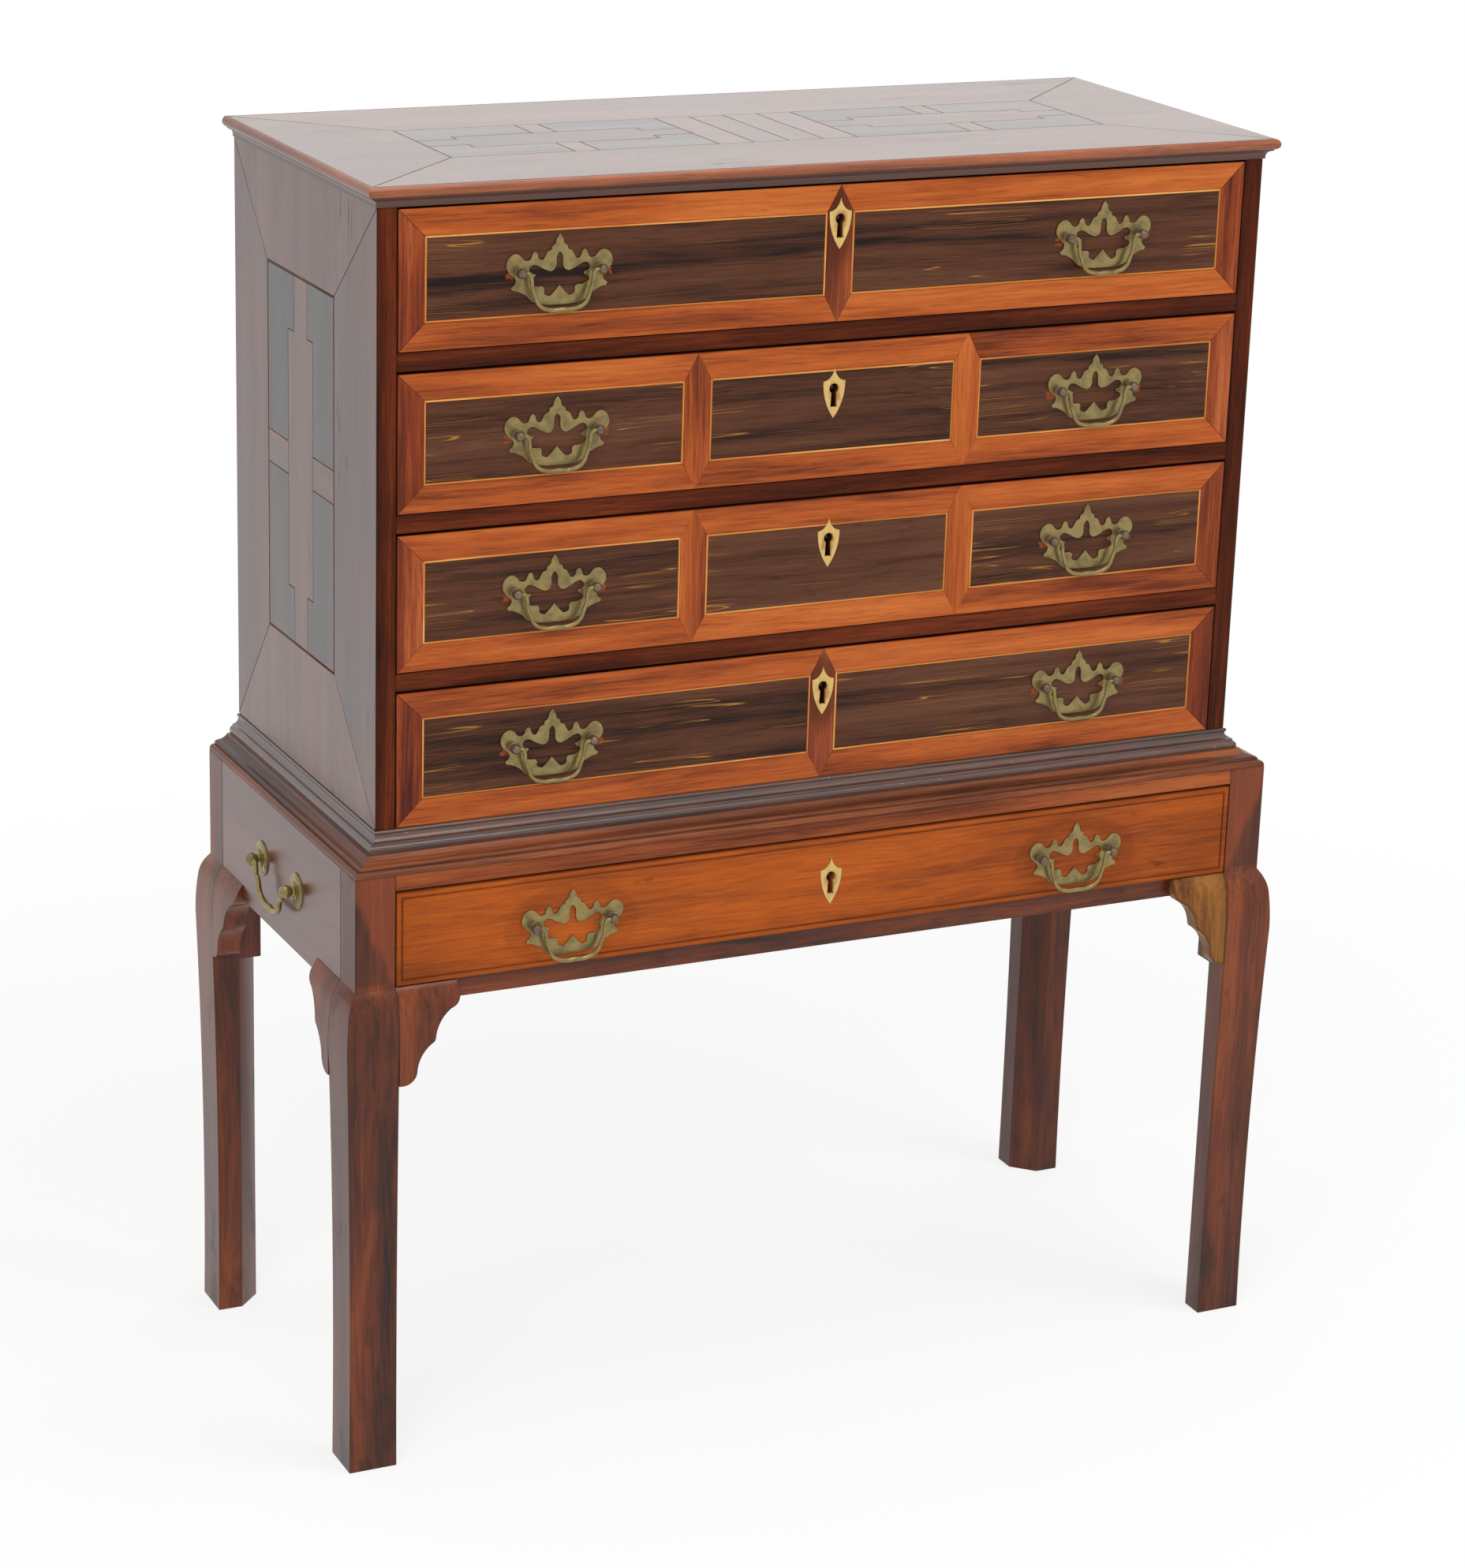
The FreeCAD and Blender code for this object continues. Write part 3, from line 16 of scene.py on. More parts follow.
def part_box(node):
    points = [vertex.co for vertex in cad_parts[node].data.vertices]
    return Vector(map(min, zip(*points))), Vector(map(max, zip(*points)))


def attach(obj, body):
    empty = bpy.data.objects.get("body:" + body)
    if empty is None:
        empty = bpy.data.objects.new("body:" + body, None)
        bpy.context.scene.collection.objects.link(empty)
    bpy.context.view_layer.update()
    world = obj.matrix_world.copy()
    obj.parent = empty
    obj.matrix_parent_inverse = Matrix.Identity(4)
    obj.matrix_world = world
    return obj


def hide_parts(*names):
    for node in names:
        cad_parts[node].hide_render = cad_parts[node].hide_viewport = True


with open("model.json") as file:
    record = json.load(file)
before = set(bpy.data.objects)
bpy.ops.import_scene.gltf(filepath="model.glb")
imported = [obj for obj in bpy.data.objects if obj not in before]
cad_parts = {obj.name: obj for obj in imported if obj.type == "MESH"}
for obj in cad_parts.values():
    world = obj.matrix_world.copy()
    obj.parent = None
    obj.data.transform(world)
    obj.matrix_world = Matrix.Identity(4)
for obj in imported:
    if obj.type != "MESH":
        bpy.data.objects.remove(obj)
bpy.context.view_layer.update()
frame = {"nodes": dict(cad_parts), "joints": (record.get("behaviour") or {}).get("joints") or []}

bl_info = {
    "name": "Chest on stand",
    "version": (1, 0, 0),
    "blender": (4, 5, 0),
    "location": "View3D > Sidebar > Chest",
    "description": "Veneers, mouldings, stand, brass and stage of a chest of drawers on a stand",
    "category": "Object",
}

MM = 0.001
CHEST_DRAWERS = ("drawer_1", "drawer_2", "drawer_3", "drawer_4")
ALL_DRAWERS = CHEST_DRAWERS + ("stand_drawer",)
PAIRED_LOZENGES = ("drawer_2", "drawer_3")
SIDES = (("left", -1.0), ("right", 1.0))
CARCASS = "carcass"
ALONG_X, ALONG_Y, ALONG_Z = 0, 1, 2


# Sizes and colours a user would change

def linear(red, green, blue):
    """A colour mixed on a screen, as the light it stands for."""
    def light(part):
        part /= 255.0
        return part / 12.92 if part <= 0.04045 else ((part + 0.055) / 1.055) ** 2.4
    return light(red), light(green), light(blue)


def colour(name, description, red, green, blue):
    return bpy.props.FloatVectorProperty(
        name=name, description=description, subtype="COLOR", size=3, min=0.0, max=1.0,
        default=linear(red, green, blue),
    )


def length(name, description, millimetres):
    return bpy.props.FloatProperty(
        name=name, description=description, default=millimetres * MM, unit="LENGTH", precision=5,
    )


def angle(name, description, degrees):
    return bpy.props.FloatProperty(
        name=name, description=description, default=math.radians(degrees), subtype="ANGLE",
    )


class ChestSizes(bpy.types.PropertyGroup):
    """Lengths that the frame does not settle."""

    board_arris: length("Board edge", "Worn edge of rails, sides and linings", 0.7)
    stand_arris: length("Stand edge", "Worn edge of the legs and brackets", 0.8)
    leaf_arris: length("Leaf edge", "Worn edge of a veneer leaf on a drawer", 0.3)
    leaf_thick: length("Leaf stand", "How far side and top veneers stand off their board", 0.6)
    leaf_joint: length("Side joint", "Open joint between the side veneers", 0.8)
    top_joint: length("Top joint", "Open joint between the top veneers", 1.3)
    border_width: length("Side border", "Width of the mitred border on the sides and top", 103.0)
    plate_round: length("Plate edge", "Filed edge of the pull plates", 0.35)
    bail_swell: length("Bail swell", "Radius of a pull's bail at the middle of its grip", 2.35)
    shield_arris: length("Shield edge", "Rounded edge of the bone shields", 0.45)


class ChestColours(bpy.types.PropertyGroup):
    """Colours of the woods, metals and stage."""

    panel: colour("Panels", "Dark figured veneer of the drawer panels", 77, 44, 28)
    panel_dark: colour("Panel streaks", "Black streaks in the panels", 26, 14, 10)
    crack: colour("Cracks", "Golden ground showing in cracks of the panels", 176, 122, 52)
    banding: colour("Banding", "Orange-brown banding along the drawers", 160, 77, 31)
    banding_dark: colour("Banding figure", "Darker figure in the banding", 96, 40, 19)
    end_banding: colour("End banding", "Redder banding at the drawers' ends", 124, 53, 24)
    lozenge: colour("Lozenges", "Upright lozenges across the banding", 128, 60, 32)
    string: colour("Stringing", "Pale line round the panels", 192, 116, 50)
    rail: colour("Rails", "Rails and edges of the carcass", 75, 30, 12)
    side: colour("Side veneer", "Border and cross strips of the sides and top", 92, 58, 46)
    side_dark: colour("Side panels", "Dark leaves of the sides and top", 50, 40, 36)
    moulding: colour("Top edge", "Edge of the top", 122, 62, 30)
    ebonised: colour("Mouldings", "Dark mouldings at the waist", 66, 40, 31)
    stand: colour("Stand", "Legs, aprons and brackets", 92, 40, 16)
    stand_dark: colour("Stand figure", "Dark figure and worn edges of the stand", 38, 20, 12)
    stand_front: colour("Stand drawer", "Solid front of the stand's drawer", 168, 82, 27)
    repair: colour("Repair", "Replaced bracket at the right", 112, 68, 30)
    lining: colour("Linings", "Bare wood of drawer boxes, runners and back", 150, 112, 74)
    brass: colour("Brass", "Dull brass of the pulls", 148, 131, 83)
    brass_dark: colour("Old brass", "Tarnish in the brass", 112, 97, 62)
    post: colour("Posts", "Worn grey heads of the posts", 124, 106, 86)
    bone: colour("Bone", "Shields round the keyholes", 206, 172, 104)
    iron: colour("Iron", "Locks and bolts", 62, 58, 54)
    floor: colour("Floor", "Pale studio floor", 246, 246, 245)


class ChestView(bpy.types.PropertyGroup):
    """Where the studio camera stands."""

    azimuth: angle("Azimuth", "Turn of the camera round the chest from its front", -25.895)
    elevation: angle("Elevation", "Height angle of the camera", 18.4)
    roll: angle("Roll", "Tilt of the picture", 1.769)
    distance: length("Distance", "From the camera to its target", 4055.4)
    target: bpy.props.FloatVectorProperty(
        name="Target", description="Point in the middle of the picture", size=3, unit="LENGTH",
        default=(0.0004, 0.01605, 0.545),
    )
    lens: bpy.props.FloatProperty(
        name="Lens", description="Focal length on a 36 mm long side", default=95.49, unit="CAMERA",
    )


# What the frame and the settings say

def hinge_of(joint):
    """The point that a joint turns about."""
    return Vector(next(j["pos_m"] for j in frame["joints"] if j["name"] == joint))


def sizes():
    return bpy.context.scene.chest_sizes


def colours():
    return bpy.context.scene.chest_colours


# Material nodes, written as sums

def maths(operation, turned=False):
    """A method that joins a strand and another value, the other first where turned."""
    def join(self, other=0.0):
        first, second = (other, self) if turned else (self, other)
        return self.node("Math", {"operation": operation}, {0: first, 1: second})
    return join


class Strand:
    """A socket of a material's nodes that takes part in Python expressions."""

    __add__, __radd__ = maths("ADD"), maths("ADD", True)
    __sub__, __rsub__ = maths("SUBTRACT"), maths("SUBTRACT", True)
    __mul__, __truediv__, __pow__ = maths("MULTIPLY"), maths("DIVIDE"), maths("POWER")
    __abs__, least, most = maths("ABSOLUTE"), maths("MINIMUM"), maths("MAXIMUM")

    def __init__(self, tree, socket=None):
        self.tree = tree
        self.socket = socket

    def node(self, kind, settings=None, sockets=None, output=0):
        """A shader node of this kind with its settings, and its sockets given values or links."""
        made = self.tree.nodes.new("ShaderNode" + kind)
        for key, value in (settings or {}).items():
            if key == "stops":
                fill_ramp(made.color_ramp, value)
            else:
                setattr(made, key, value)
        for key, value in (sockets or {}).items():
            if isinstance(value, Strand):
                self.tree.links.new(value.socket, made.inputs[key])
            else:
                made.inputs[key].default_value = value
        return Strand(self.tree, made.outputs[output] if len(made.outputs) else None)

    def rise(self, low, high):
        """0 below low, 1 above high and an eased step between them."""
        return self.node(
            "MapRange", {"interpolation_type": "SMOOTHSTEP"},
            {"Value": self, "From Min": low, "From Max": high},
        )

    def scaled(self, x, y, z):
        """This vector, stretched along its axes."""
        return self.node("VectorMath", {"operation": "MULTIPLY"}, {0: self, 1: (x, y, z)})

    def moved(self, other):
        """This vector, moved by another."""
        return self.node("VectorMath", {"operation": "ADD"}, {0: self, 1: other})

    def parts(self):
        """The three numbers of this vector."""
        apart = self.node("SeparateXYZ", None, {0: self}).socket.node
        return [Strand(self.tree, socket) for socket in apart.outputs]

    def noise(self, scale=1.0, detail=2.0, roughness=0.5):
        """Cloudy noise read at this vector."""
        return self.node(
            "TexNoise", None,
            {"Vector": self, "Scale": scale, "Detail": detail, "Roughness": roughness},
        )

    def tinted(self, other, share):
        """This colour blended with another by a share."""
        return self.node("Mix", {"data_type": "RGBA"}, {0: share, 6: self, 7: other}, 2)

    def attribute(self, name, output):
        return self.node("Attribute", {"attribute_name": name}, None, output)

    def place(self):
        """The point of the piece in the frame at rest."""
        return self.node("TexCoord", None, None, "Object")

    def edges(self, reach):
        """How near a sharp edge is, from 0 on open faces."""
        rounded = self.node("Bevel", {"samples": 4}, {"Radius": reach})
        flat = self.node("NewGeometry", None, None, "Normal")
        facing = self.node("VectorMath", {"operation": "DOT_PRODUCT"}, {0: rounded, 1: flat}, 1)
        return 1.0 - facing


def fill_ramp(ramp, stops):
    while len(ramp.elements) < len(stops):
        ramp.elements.new(0.5)
    for element, (position, shade) in zip(ramp.elements, stops):
        element.position = position
        element.color = rgba(shade)


def rgba(shade):
    return tuple(shade[:3]) + (1.0,)


def deeper(shade, share):
    """A colour with this share of its light."""
    return tuple(part * share for part in shade[:3])


def shade_of(mix):
    """A colour told by its name, by its name and a share of its light, or as seen on a screen."""
    if isinstance(mix, str):
        return getattr(colours(), mix)
    return linear(*mix) if len(mix) == 3 else deeper(getattr(colours(), mix[0]), mix[1])


def start_material(name):
    material = bpy.data.materials.new(name)
    material.use_nodes = True
    material.node_tree.nodes.clear()
    return material, Strand(material.node_tree)


def close_material(strand, relief, depth, height, sockets):
    """End a material in one shader with a fine relief."""
    bump = strand.node("Bump", None, {"Strength": relief, "Distance": depth, "Height": height})
    shader = strand.node("BsdfPrincipled", None, {"Normal": bump, **sockets})
    strand.node("OutputMaterial", None, {"Surface": shader})


def made_once(make):
    """A maker of materials that gives back the one it made before under the same name."""
    @functools.wraps(make)
    def find(name, *details, **more):
        return bpy.data.materials.get(name) or make(name, *details, **more)
    return find


def seen_by(strand, *kinds):
    """1 for rays of these kinds and 0 for all others."""
    outputs = strand.node("LightPath").socket.node.outputs
    return functools.reduce(Strand.most, [Strand(strand.tree, outputs[kind]) for kind in kinds])


# Finishes

PLATE_MIDDLE = 4 * MM    # how far the middle of a pull's plate lies below its posts


def oval(x, z, reach_x, reach_z):
    """Distance from the middle of an oval, 1 on its edge."""
    return ((x / reach_x) ** 2.0 + (z / reach_z) ** 2.0) ** 0.5


def keyhole_marks(strand, reach_x, reach_z):
    """Nearness to the keyholes of all the drawers, 1 at their middles."""
    x, _, z = strand.place().parts()
    apart = []
    for drawer in ALL_DRAWERS:
        low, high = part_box(drawer + "_escutcheon")
        apart.append(oval(x, z - (low.z + high.z) / 2, reach_x, reach_z))
    return 1.0 - functools.reduce(Strand.least, apart).rise(0.55, 1.15)


def pull_marks(strand, drawers, reach_x, reach_z):
    """Distance from the pulls of these drawers, 1 on an oval round each of them."""
    x, _, z = strand.place().parts()
    apart = []
    for drawer in drawers:
        hinge = hinge_of(drawer + "_bail_right_hinge")
        apart.append(oval(abs(x) - hinge.x, z - hinge.z + PLATE_MIDDLE, reach_x, reach_z))
    return functools.reduce(Strand.least, apart)


# How often clouds, blotches, rubs and pores come in a wood, per metre along and across the grain
WANDER, BLOTCHES = (4.0, 9.0, 9.0), (5.0, 11.0, 11.0)
RUBS, PORES = (24.0, 60.0, 60.0), (42.0, 1300.0, 1300.0)
FIBRE_RUN, FIBRE_STREAKS = 7.0, 11.0     # how much finer fibres are than streaks
WAX_ROUGHNESS = 0.2


@made_once
def wood(
        name, deep, body, light, streaks=34.0, run=2.4, sway=0.012, figure=1.0, pores=0.5,
        polish=0.34, worn=None, worn_reach=2.0, worn_share=0.75, marks=None, shine=0.14, coat=0.03,
        relief=0.22):
    """Waxed wood cut along the piece's grain, with streaks, fibres, pores and dark edge bands."""
    deep, body, light = shade_of(deep), shade_of(body), shade_of(light)
    material, strand = start_material(name)
    grain = strand.attribute("grain", "Vector")
    tone = strand.attribute("tone", "Fac")
    wander = grain.scaled(*WANDER).noise(detail=2.0) - 0.5
    shift = strand.node("CombineXYZ", None, {1: wander * sway, 2: wander * sway})
    laid = grain.moved(shift)
    broad = laid.scaled(run, streaks, streaks).noise(detail=5.0, roughness=0.6)
    across = streaks * FIBRE_STREAKS
    fibre = laid.scaled(run * FIBRE_RUN, across, across).noise(detail=3.0, roughness=0.6)
    pore = laid.scaled(*PORES).noise(detail=1.0).rise(0.58, 0.74)
    blotch = grain.scaled(*BLOTCHES).noise(detail=3.0)
    value = (broad - 0.5) * (1.25 * figure) + (fibre - 0.5) * 0.55 + (blotch - 0.5) * 0.4
    value = value + tone * 0.1 + 0.5
    shade = strand.node(
        "ValToRGB", {"stops": [(0.22, deep), (0.5, body), (0.8, light)]}, {"Fac": value},
    )
    shade = shade.tinted(rgba(deeper(deep, 0.45)), pore * pores)
    rough = polish + (fibre - 0.5) * 0.16 + (blotch - 0.5) * 0.14
    if marks:
        shade, rough = marks(strand, shade, rough, laid)
    if worn is not None:
        # A dark band along sharp edges, on outer edges and in inside corners alike, broken by rubs
        rub = grain.scaled(*RUBS).noise(detail=3.0) - 0.5
        edge = (strand.edges(worn_reach * MM) * 5.0 + rub * 0.9).rise(0.18, 0.8)
        shade = shade.tinted(rgba(shade_of(worn)), edge * worn_share)
    height = (fibre - 0.5) * 0.6 - pore * 0.5 + (broad - 0.5) * 0.5
    close_material(strand, relief, 0.4 * MM, height, {
        "Base Color": shade, "Roughness": rough, "Specular IOR Level": shine, "Coat Weight": coat,
        "Coat Roughness": WAX_ROUGHNESS,
    })
    return material


PANEL_ENDS = (0.405, 0.155)     # where panels end, from the middle of a drawer


def panel_marks(strand, shade, rough, laid):
    """Fine golden cracks along the grain, and orange chips beside the posts of the pulls."""
    thin = abs(laid.scaled(3.0, 260.0, 260.0).noise(detail=0.0) - 0.5)
    where = laid.scaled(9.0, 90.0, 90.0).noise(detail=1.0)
    x, _, _ = strand.place().parts()
    ends = functools.reduce(Strand.least, [abs(abs(x) - end) for end in PANEL_ENDS])
    cracked = (where + 0.1 - ends.rise(0.02, 0.09) * 0.17).rise(0.58, 0.66)
    open_crack = (1.0 - thin.rise(0.004, 0.02)) * cracked
    shade = shade.tinted(rgba(colours().crack), open_crack * 0.65)
    beside = abs(pull_marks(strand, CHEST_DRAWERS, 0.046, 0.3) - 1.0)
    level = pull_marks(strand, CHEST_DRAWERS, 0.3, 0.006)
    rough_edge = strand.place().noise(240.0, 2.0)
    chip = (1.0 - beside.rise(0.06, 0.16)) * (1.0 - level.rise(0.4, 1.0)) * rough_edge
    chip = chip.rise(0.36, 0.46)
    shade = shade.tinted(rgba(colours().banding), chip * 0.6)
    return shade, rough + open_crack.most(chip) * 0.3


def lozenge_marks(strand, shade, rough, laid):
    """A dark halo round the keyholes."""
    halo = keyhole_marks(strand, 0.021, 0.043)
    shade = shade.tinted(rgba(deeper(colours().lozenge, 0.32)), halo * 0.7)
    return shade, rough + halo * 0.1


def stand_front_marks(strand, shade, rough, laid):
    """Shadows of older plates round the pulls, darker ends and bottom and a few dark knocks."""
    near = pull_marks(strand, ("stand_drawer",), 0.064, 0.040)
    ring = near.rise(0.62, 0.8) * (1.0 - near.rise(0.98, 1.1))
    knocks = laid.scaled(26.0, 70.0, 70.0).noise(detail=2.0).rise(0.7, 0.76)
    x, _, z = strand.place().parts()
    low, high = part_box("stand_drawer_front")
    patch = laid.scaled(6.0, 20.0, 20.0).noise(detail=3.0)
    # Patches darker towards the front's ends and its bottom edge
    ends = abs(x).rise(high.x - 0.09, high.x + 0.02) + (1.0 - z.rise(low.z - 0.01, low.z + 0.03))
    dark = (ring * 0.2).most(knocks * 0.6).most(ends * patch * 0.5)
    return shade.tinted(rgba(deeper(colours().stand_front, 0.22)), dark), rough + dark * 0.15


def flecked(strand, shade, rough, laid):
    """Pale flecks of old ground and rubbed red high places on dark mouldings."""
    high = laid.scaled(7.0, 90.0, 90.0).noise(detail=3.0).rise(0.5, 0.72)
    shade = shade.tinted(rgba(colours().stand), high * 0.55)
    fleck = laid.scaled(160.0, 420.0, 420.0).noise(detail=2.0).rise(0.735, 0.77)
    return shade.tinted(rgba(colours().bone), fleck * 0.5), rough + high * 0.05


SCUFF_HEIGHT = 0.2                       # scuffs gather below this
POST_FOOT, POST_FACE = 0.474, -0.197     # lowest point and front plane of the posts above the knees
# The line on these posts where light wood begins: a point of it, its slope and how soft it is
SLANT_X, SLANT_Z, SLANT_SLOPE, SLANT_BLUR = 0.452, 0.512, 2.3, 0.012
SLANT_COLOUR = (128, 56, 20)


def leg_marks(strand, shade, rough, laid):
    """Dark scuffs that gather towards the feet, and a slanting light figure on the front posts."""
    x, y, z = strand.place().parts()
    scuff = laid.scaled(17.0, 40.0, 40.0).noise(detail=5.0, roughness=0.65)
    low = 1.0 - z.rise(0.0, SCUFF_HEIGHT)
    dark = (scuff + low * 0.12).rise(0.57, 0.76)
    old = rgba(colours().stand_dark)
    shade = shade.tinted(old, dark * 0.6)
    post = z.rise(POST_FOOT, POST_FOOT + 3 * MM) * (1.0 - y.rise(POST_FACE - 2 * MM, POST_FACE))
    slant = z - SLANT_Z - (abs(x) - SLANT_X) * SLANT_SLOPE + (scuff - 0.5) * 0.05
    slant = slant.rise(-SLANT_BLUR, SLANT_BLUR)
    shade = shade.tinted(rgba(shade_of(SLANT_COLOUR)), slant * post * 0.5)
    return shade.tinted(old, (1.0 - slant) * post * 0.45), rough + dark * 0.12


def cove_marks(strand, shade, rough, laid):
    """The lower half of the top's edge, its cove, tinted with the mouldings' dark colour."""
    _, _, z = strand.place().parts()
    top_low, top_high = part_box("top_moulding")
    middle = (top_low.z + top_high.z) / 2
    cove = 1.0 - z.rise(middle - 0.8 * MM, middle + 0.6 * MM)
    return shade.tinted(rgba(colours().ebonised), cove * 0.85), rough


def side_marks(strand, shade, rough, laid):
    """Fine dark shakes along the grain."""
    thin = abs(laid.scaled(4.0, 120.0, 120.0).noise(detail=2.0) - 0.5)
    where = laid.scaled(6.0, 14.0, 14.0).noise(detail=1.0).rise(0.62, 0.7)
    shake = (1.0 - thin.rise(0.004, 0.014)) * where
    return shade.tinted(rgba(deeper(colours().side_dark, 0.4)), shake * 0.8), rough + shake * 0.2


# Bright and tarnished colour of each metal, and how dull it is
METALS = {
    "cast_brass": ("brass", "brass_dark", 0.25),
    "post_metal": ("post", ("post", 0.45), 0.34),
    "dull_iron": ("iron", ("iron", 0.4), 0.5),
}


@made_once
def metal(name):
    """Dull cast metal, darker where hands and cloth have not rubbed it."""
    bright, tarnish, gloss = METALS[name]
    material, strand = start_material(name)
    place = strand.place()
    cloud = place.noise(90.0, 4.0, 0.6)
    fine = place.noise(900.0, 3.0, 0.6)
    rub = strand.edges(0.9 * MM)
    old = (cloud + (fine - 0.5) * 0.35 - rub * 0.7).rise(0.36, 0.72)
    stops = [(0.0, shade_of(bright)), (1.0, shade_of(tarnish))]
    shade = strand.node("ValToRGB", {"stops": stops}, {"Fac": old})
    close_material(strand, 0.08, 0.3 * MM, fine + cloud * 0.6, {
        "Base Color": shade, "Metallic": 0.82 - old * 0.3,
        "Roughness": gloss + old * 0.14 + (fine - 0.5) * 0.08,
    })
    return material


BONE_RIM = (150, 96, 48)


@made_once
def bone(name):
    """Yellowed bone, stained round the keyholes and brown at its rim."""
    material, strand = start_material(name)
    place = strand.place()
    streak = place.scaled(260.0, 260.0, 70.0).noise(detail=3.0)
    stain = place.noise(110.0, 3.0) + keyhole_marks(strand, 7.5 * MM, 12.5 * MM) * 0.35
    rim = strand.edges(1.4 * MM).rise(0.05, 0.5)
    shade = strand.node("ValToRGB", {"stops": [
        (0.3, colours().bone), (0.75, deeper(colours().bone, 0.72)),
    ]}, {"Fac": streak * 0.5 + stain * 0.5})
    brown = (rim * 0.55).most((stain - 0.62).rise(0.0, 0.3) * 0.6)
    close_material(strand, 0.1, 0.2 * MM, streak, {
        "Base Color": shade.tinted(rgba(shade_of(BONE_RIM)), brown),
        "Roughness": 0.42 + (streak - 0.5) * 0.2, "Specular IOR Level": 0.2,
    })
    return material


# What each wood is mixed from: colours of its streaks, body and lights, then its cut and wax.
# A colour is one of ChestColours, one of them with a share of its light, or mixed on a screen.
WOODS = {
    "panel": dict(
        deep="panel_dark", body="panel", light=(92, 58, 40), streaks=66.0, run=2.2, figure=1.15,
        polish=0.36, marks=panel_marks),
    "banding": dict(
        deep="banding_dark", body="banding", light=(188, 103, 46), streaks=40.0, pores=0.35,
        figure=0.95, worn=(58, 25, 13), worn_reach=1.3, worn_share=0.75),
    "end_banding": dict(
        deep=(66, 25, 16), body="end_banding", light=(170, 90, 50), streaks=44.0, figure=1.15,
        worn=(48, 20, 12), worn_reach=1.3, worn_share=0.7),
    "lozenge": dict(
        deep=(82, 36, 22), body="lozenge", light=(164, 86, 46), streaks=60.0, figure=0.9,
        worn=(48, 20, 12), worn_reach=1.3, worn_share=0.7, marks=lozenge_marks),
    "string": dict(
        deep=("string", 0.6), body="string", light=(224, 168, 92), streaks=120.0, pores=0.2),
    "rail": dict(
        deep=(36, 14, 8), body="rail", light=(112, 50, 24), streaks=44.0, worn=(36, 15, 9),
        worn_reach=3.0, shine=0.08, coat=0.0),
    "side": dict(
        deep=(54, 34, 28), body="side", light=(122, 82, 64), streaks=26.0, figure=0.7, polish=0.3,
        marks=side_marks, shine=0.5, coat=0.3, relief=0.12),
    "side_dark": dict(
        deep=(26, 20, 19), body="side_dark", light=(72, 58, 50), streaks=40.0, polish=0.3,
        marks=side_marks, shine=0.5, coat=0.3, relief=0.12),
    "top": dict(
        deep=(80, 58, 50), body=(112, 84, 73), light=(136, 104, 90), streaks=26.0, figure=0.6,
        polish=0.26, marks=side_marks, shine=0.62, coat=0.45, relief=0.12),
    "top_dark": dict(
        deep=(62, 54, 50), body=(92, 81, 76), light=(112, 98, 92), streaks=40.0, polish=0.26,
        marks=side_marks, shine=0.62, coat=0.45, relief=0.12),
    "top_edge": dict(
        deep=(58, 28, 16), body="moulding", light=(158, 84, 42), streaks=50.0, worn=(40, 20, 14),
        marks=cove_marks, shine=0.45, coat=0.25),
    "ebonised": dict(
        deep=(38, 24, 19), body="ebonised", light=(116, 70, 50), streaks=60.0, polish=0.3,
        worn=(36, 22, 17), marks=flecked, shine=0.7, coat=0.5),
    "stand_moulding": dict(
        deep=(44, 24, 15), body=(102, 52, 27), light=(152, 82, 40), streaks=70.0, run=1.4,
        polish=0.28, worn=(36, 20, 14), shine=0.25, coat=0.06),
    "stand": dict(
        deep="stand_dark", body="stand", light=(132, 64, 24), streaks=30.0, sway=0.02, figure=0.85,
        polish=0.28, worn="stand_dark", worn_reach=3.0, worn_share=0.6, marks=leg_marks, pores=0.3,
        shine=0.3, coat=0.08, relief=0.06),
    "apron": dict(
        deep=(68, 36, 27), body=(106, 58, 42), light=(134, 78, 56), streaks=26.0, figure=0.5,
        polish=0.28, worn="stand_dark", worn_share=0.5, pores=0.25, shine=0.45,
        coat=0.25, relief=0.05),
    "stand_rail": dict(
        deep=(84, 38, 20), body=(136, 68, 34), light=(168, 90, 44), streaks=40.0, worn="stand_dark",
        worn_reach=2.5),
    "stand_front": dict(
        deep=(122, 58, 26), body="stand_front", light=(190, 104, 44), streaks=34.0, figure=0.45,
        pores=0.35, worn=(70, 32, 18), marks=stand_front_marks, shine=0.08,
        coat=0.0),
    "repair": dict(
        deep=(62, 36, 18), body="repair", light=(150, 100, 46), streaks=44.0, worn=(36, 22, 14),
        worn_reach=6.0, worn_share=0.9),
    "lining": dict(
        deep=(98, 70, 46), body="lining", light=(178, 140, 98), streaks=36.0, polish=0.6,
        worn=(84, 58, 38)),
}


def wood_finish(name):
    return wood(name, **WOODS[name])


# Forming pieces

SHARP = math.radians(30.0)     # edges that bend more than this are eased
FLAT = math.radians(0.4)       # faces that bend less than this are made one
MERGE = 0.002 * MM             # points of the frame nearer than this are one
BROAD = 18.0 * MM              # faces broader than this are shaded flat
GRAIN_SHIFT = 4.0              # how far apart two planks may lie in the tree they are cut from


def new_form():
    """An empty form whose vertices can hold their grain and tone."""
    form = bmesh.new()
    form.verts.layers.float_vector.new("grain")
    form.verts.layers.float.new("tone")
    return form


def node_solids(node):
    """The faces of each solid of a CAD node: a solid's faces close before the next one's begin."""
    mesh = frame["nodes"][node].data
    points = [(tuple(round(c / MERGE) for c in vertex.co), vertex.co) for vertex in mesh.vertices]
    solids, faces, open_edges = [], [], set()
    for polygon in mesh.polygons:
        face = [points[index] for index in polygon.vertices]
        keys = [key for key, _ in face]
        pairs = zip(keys, keys[1:] + keys[:1])
        open_edges ^= {frozenset(pair) for pair in pairs if pair[0] != pair[1]}
        faces.append(face)
        if not open_edges:
            solids.append(faces)
            faces = []
    if faces:
        raise RuntimeError("open solid in " + node)
    return solids


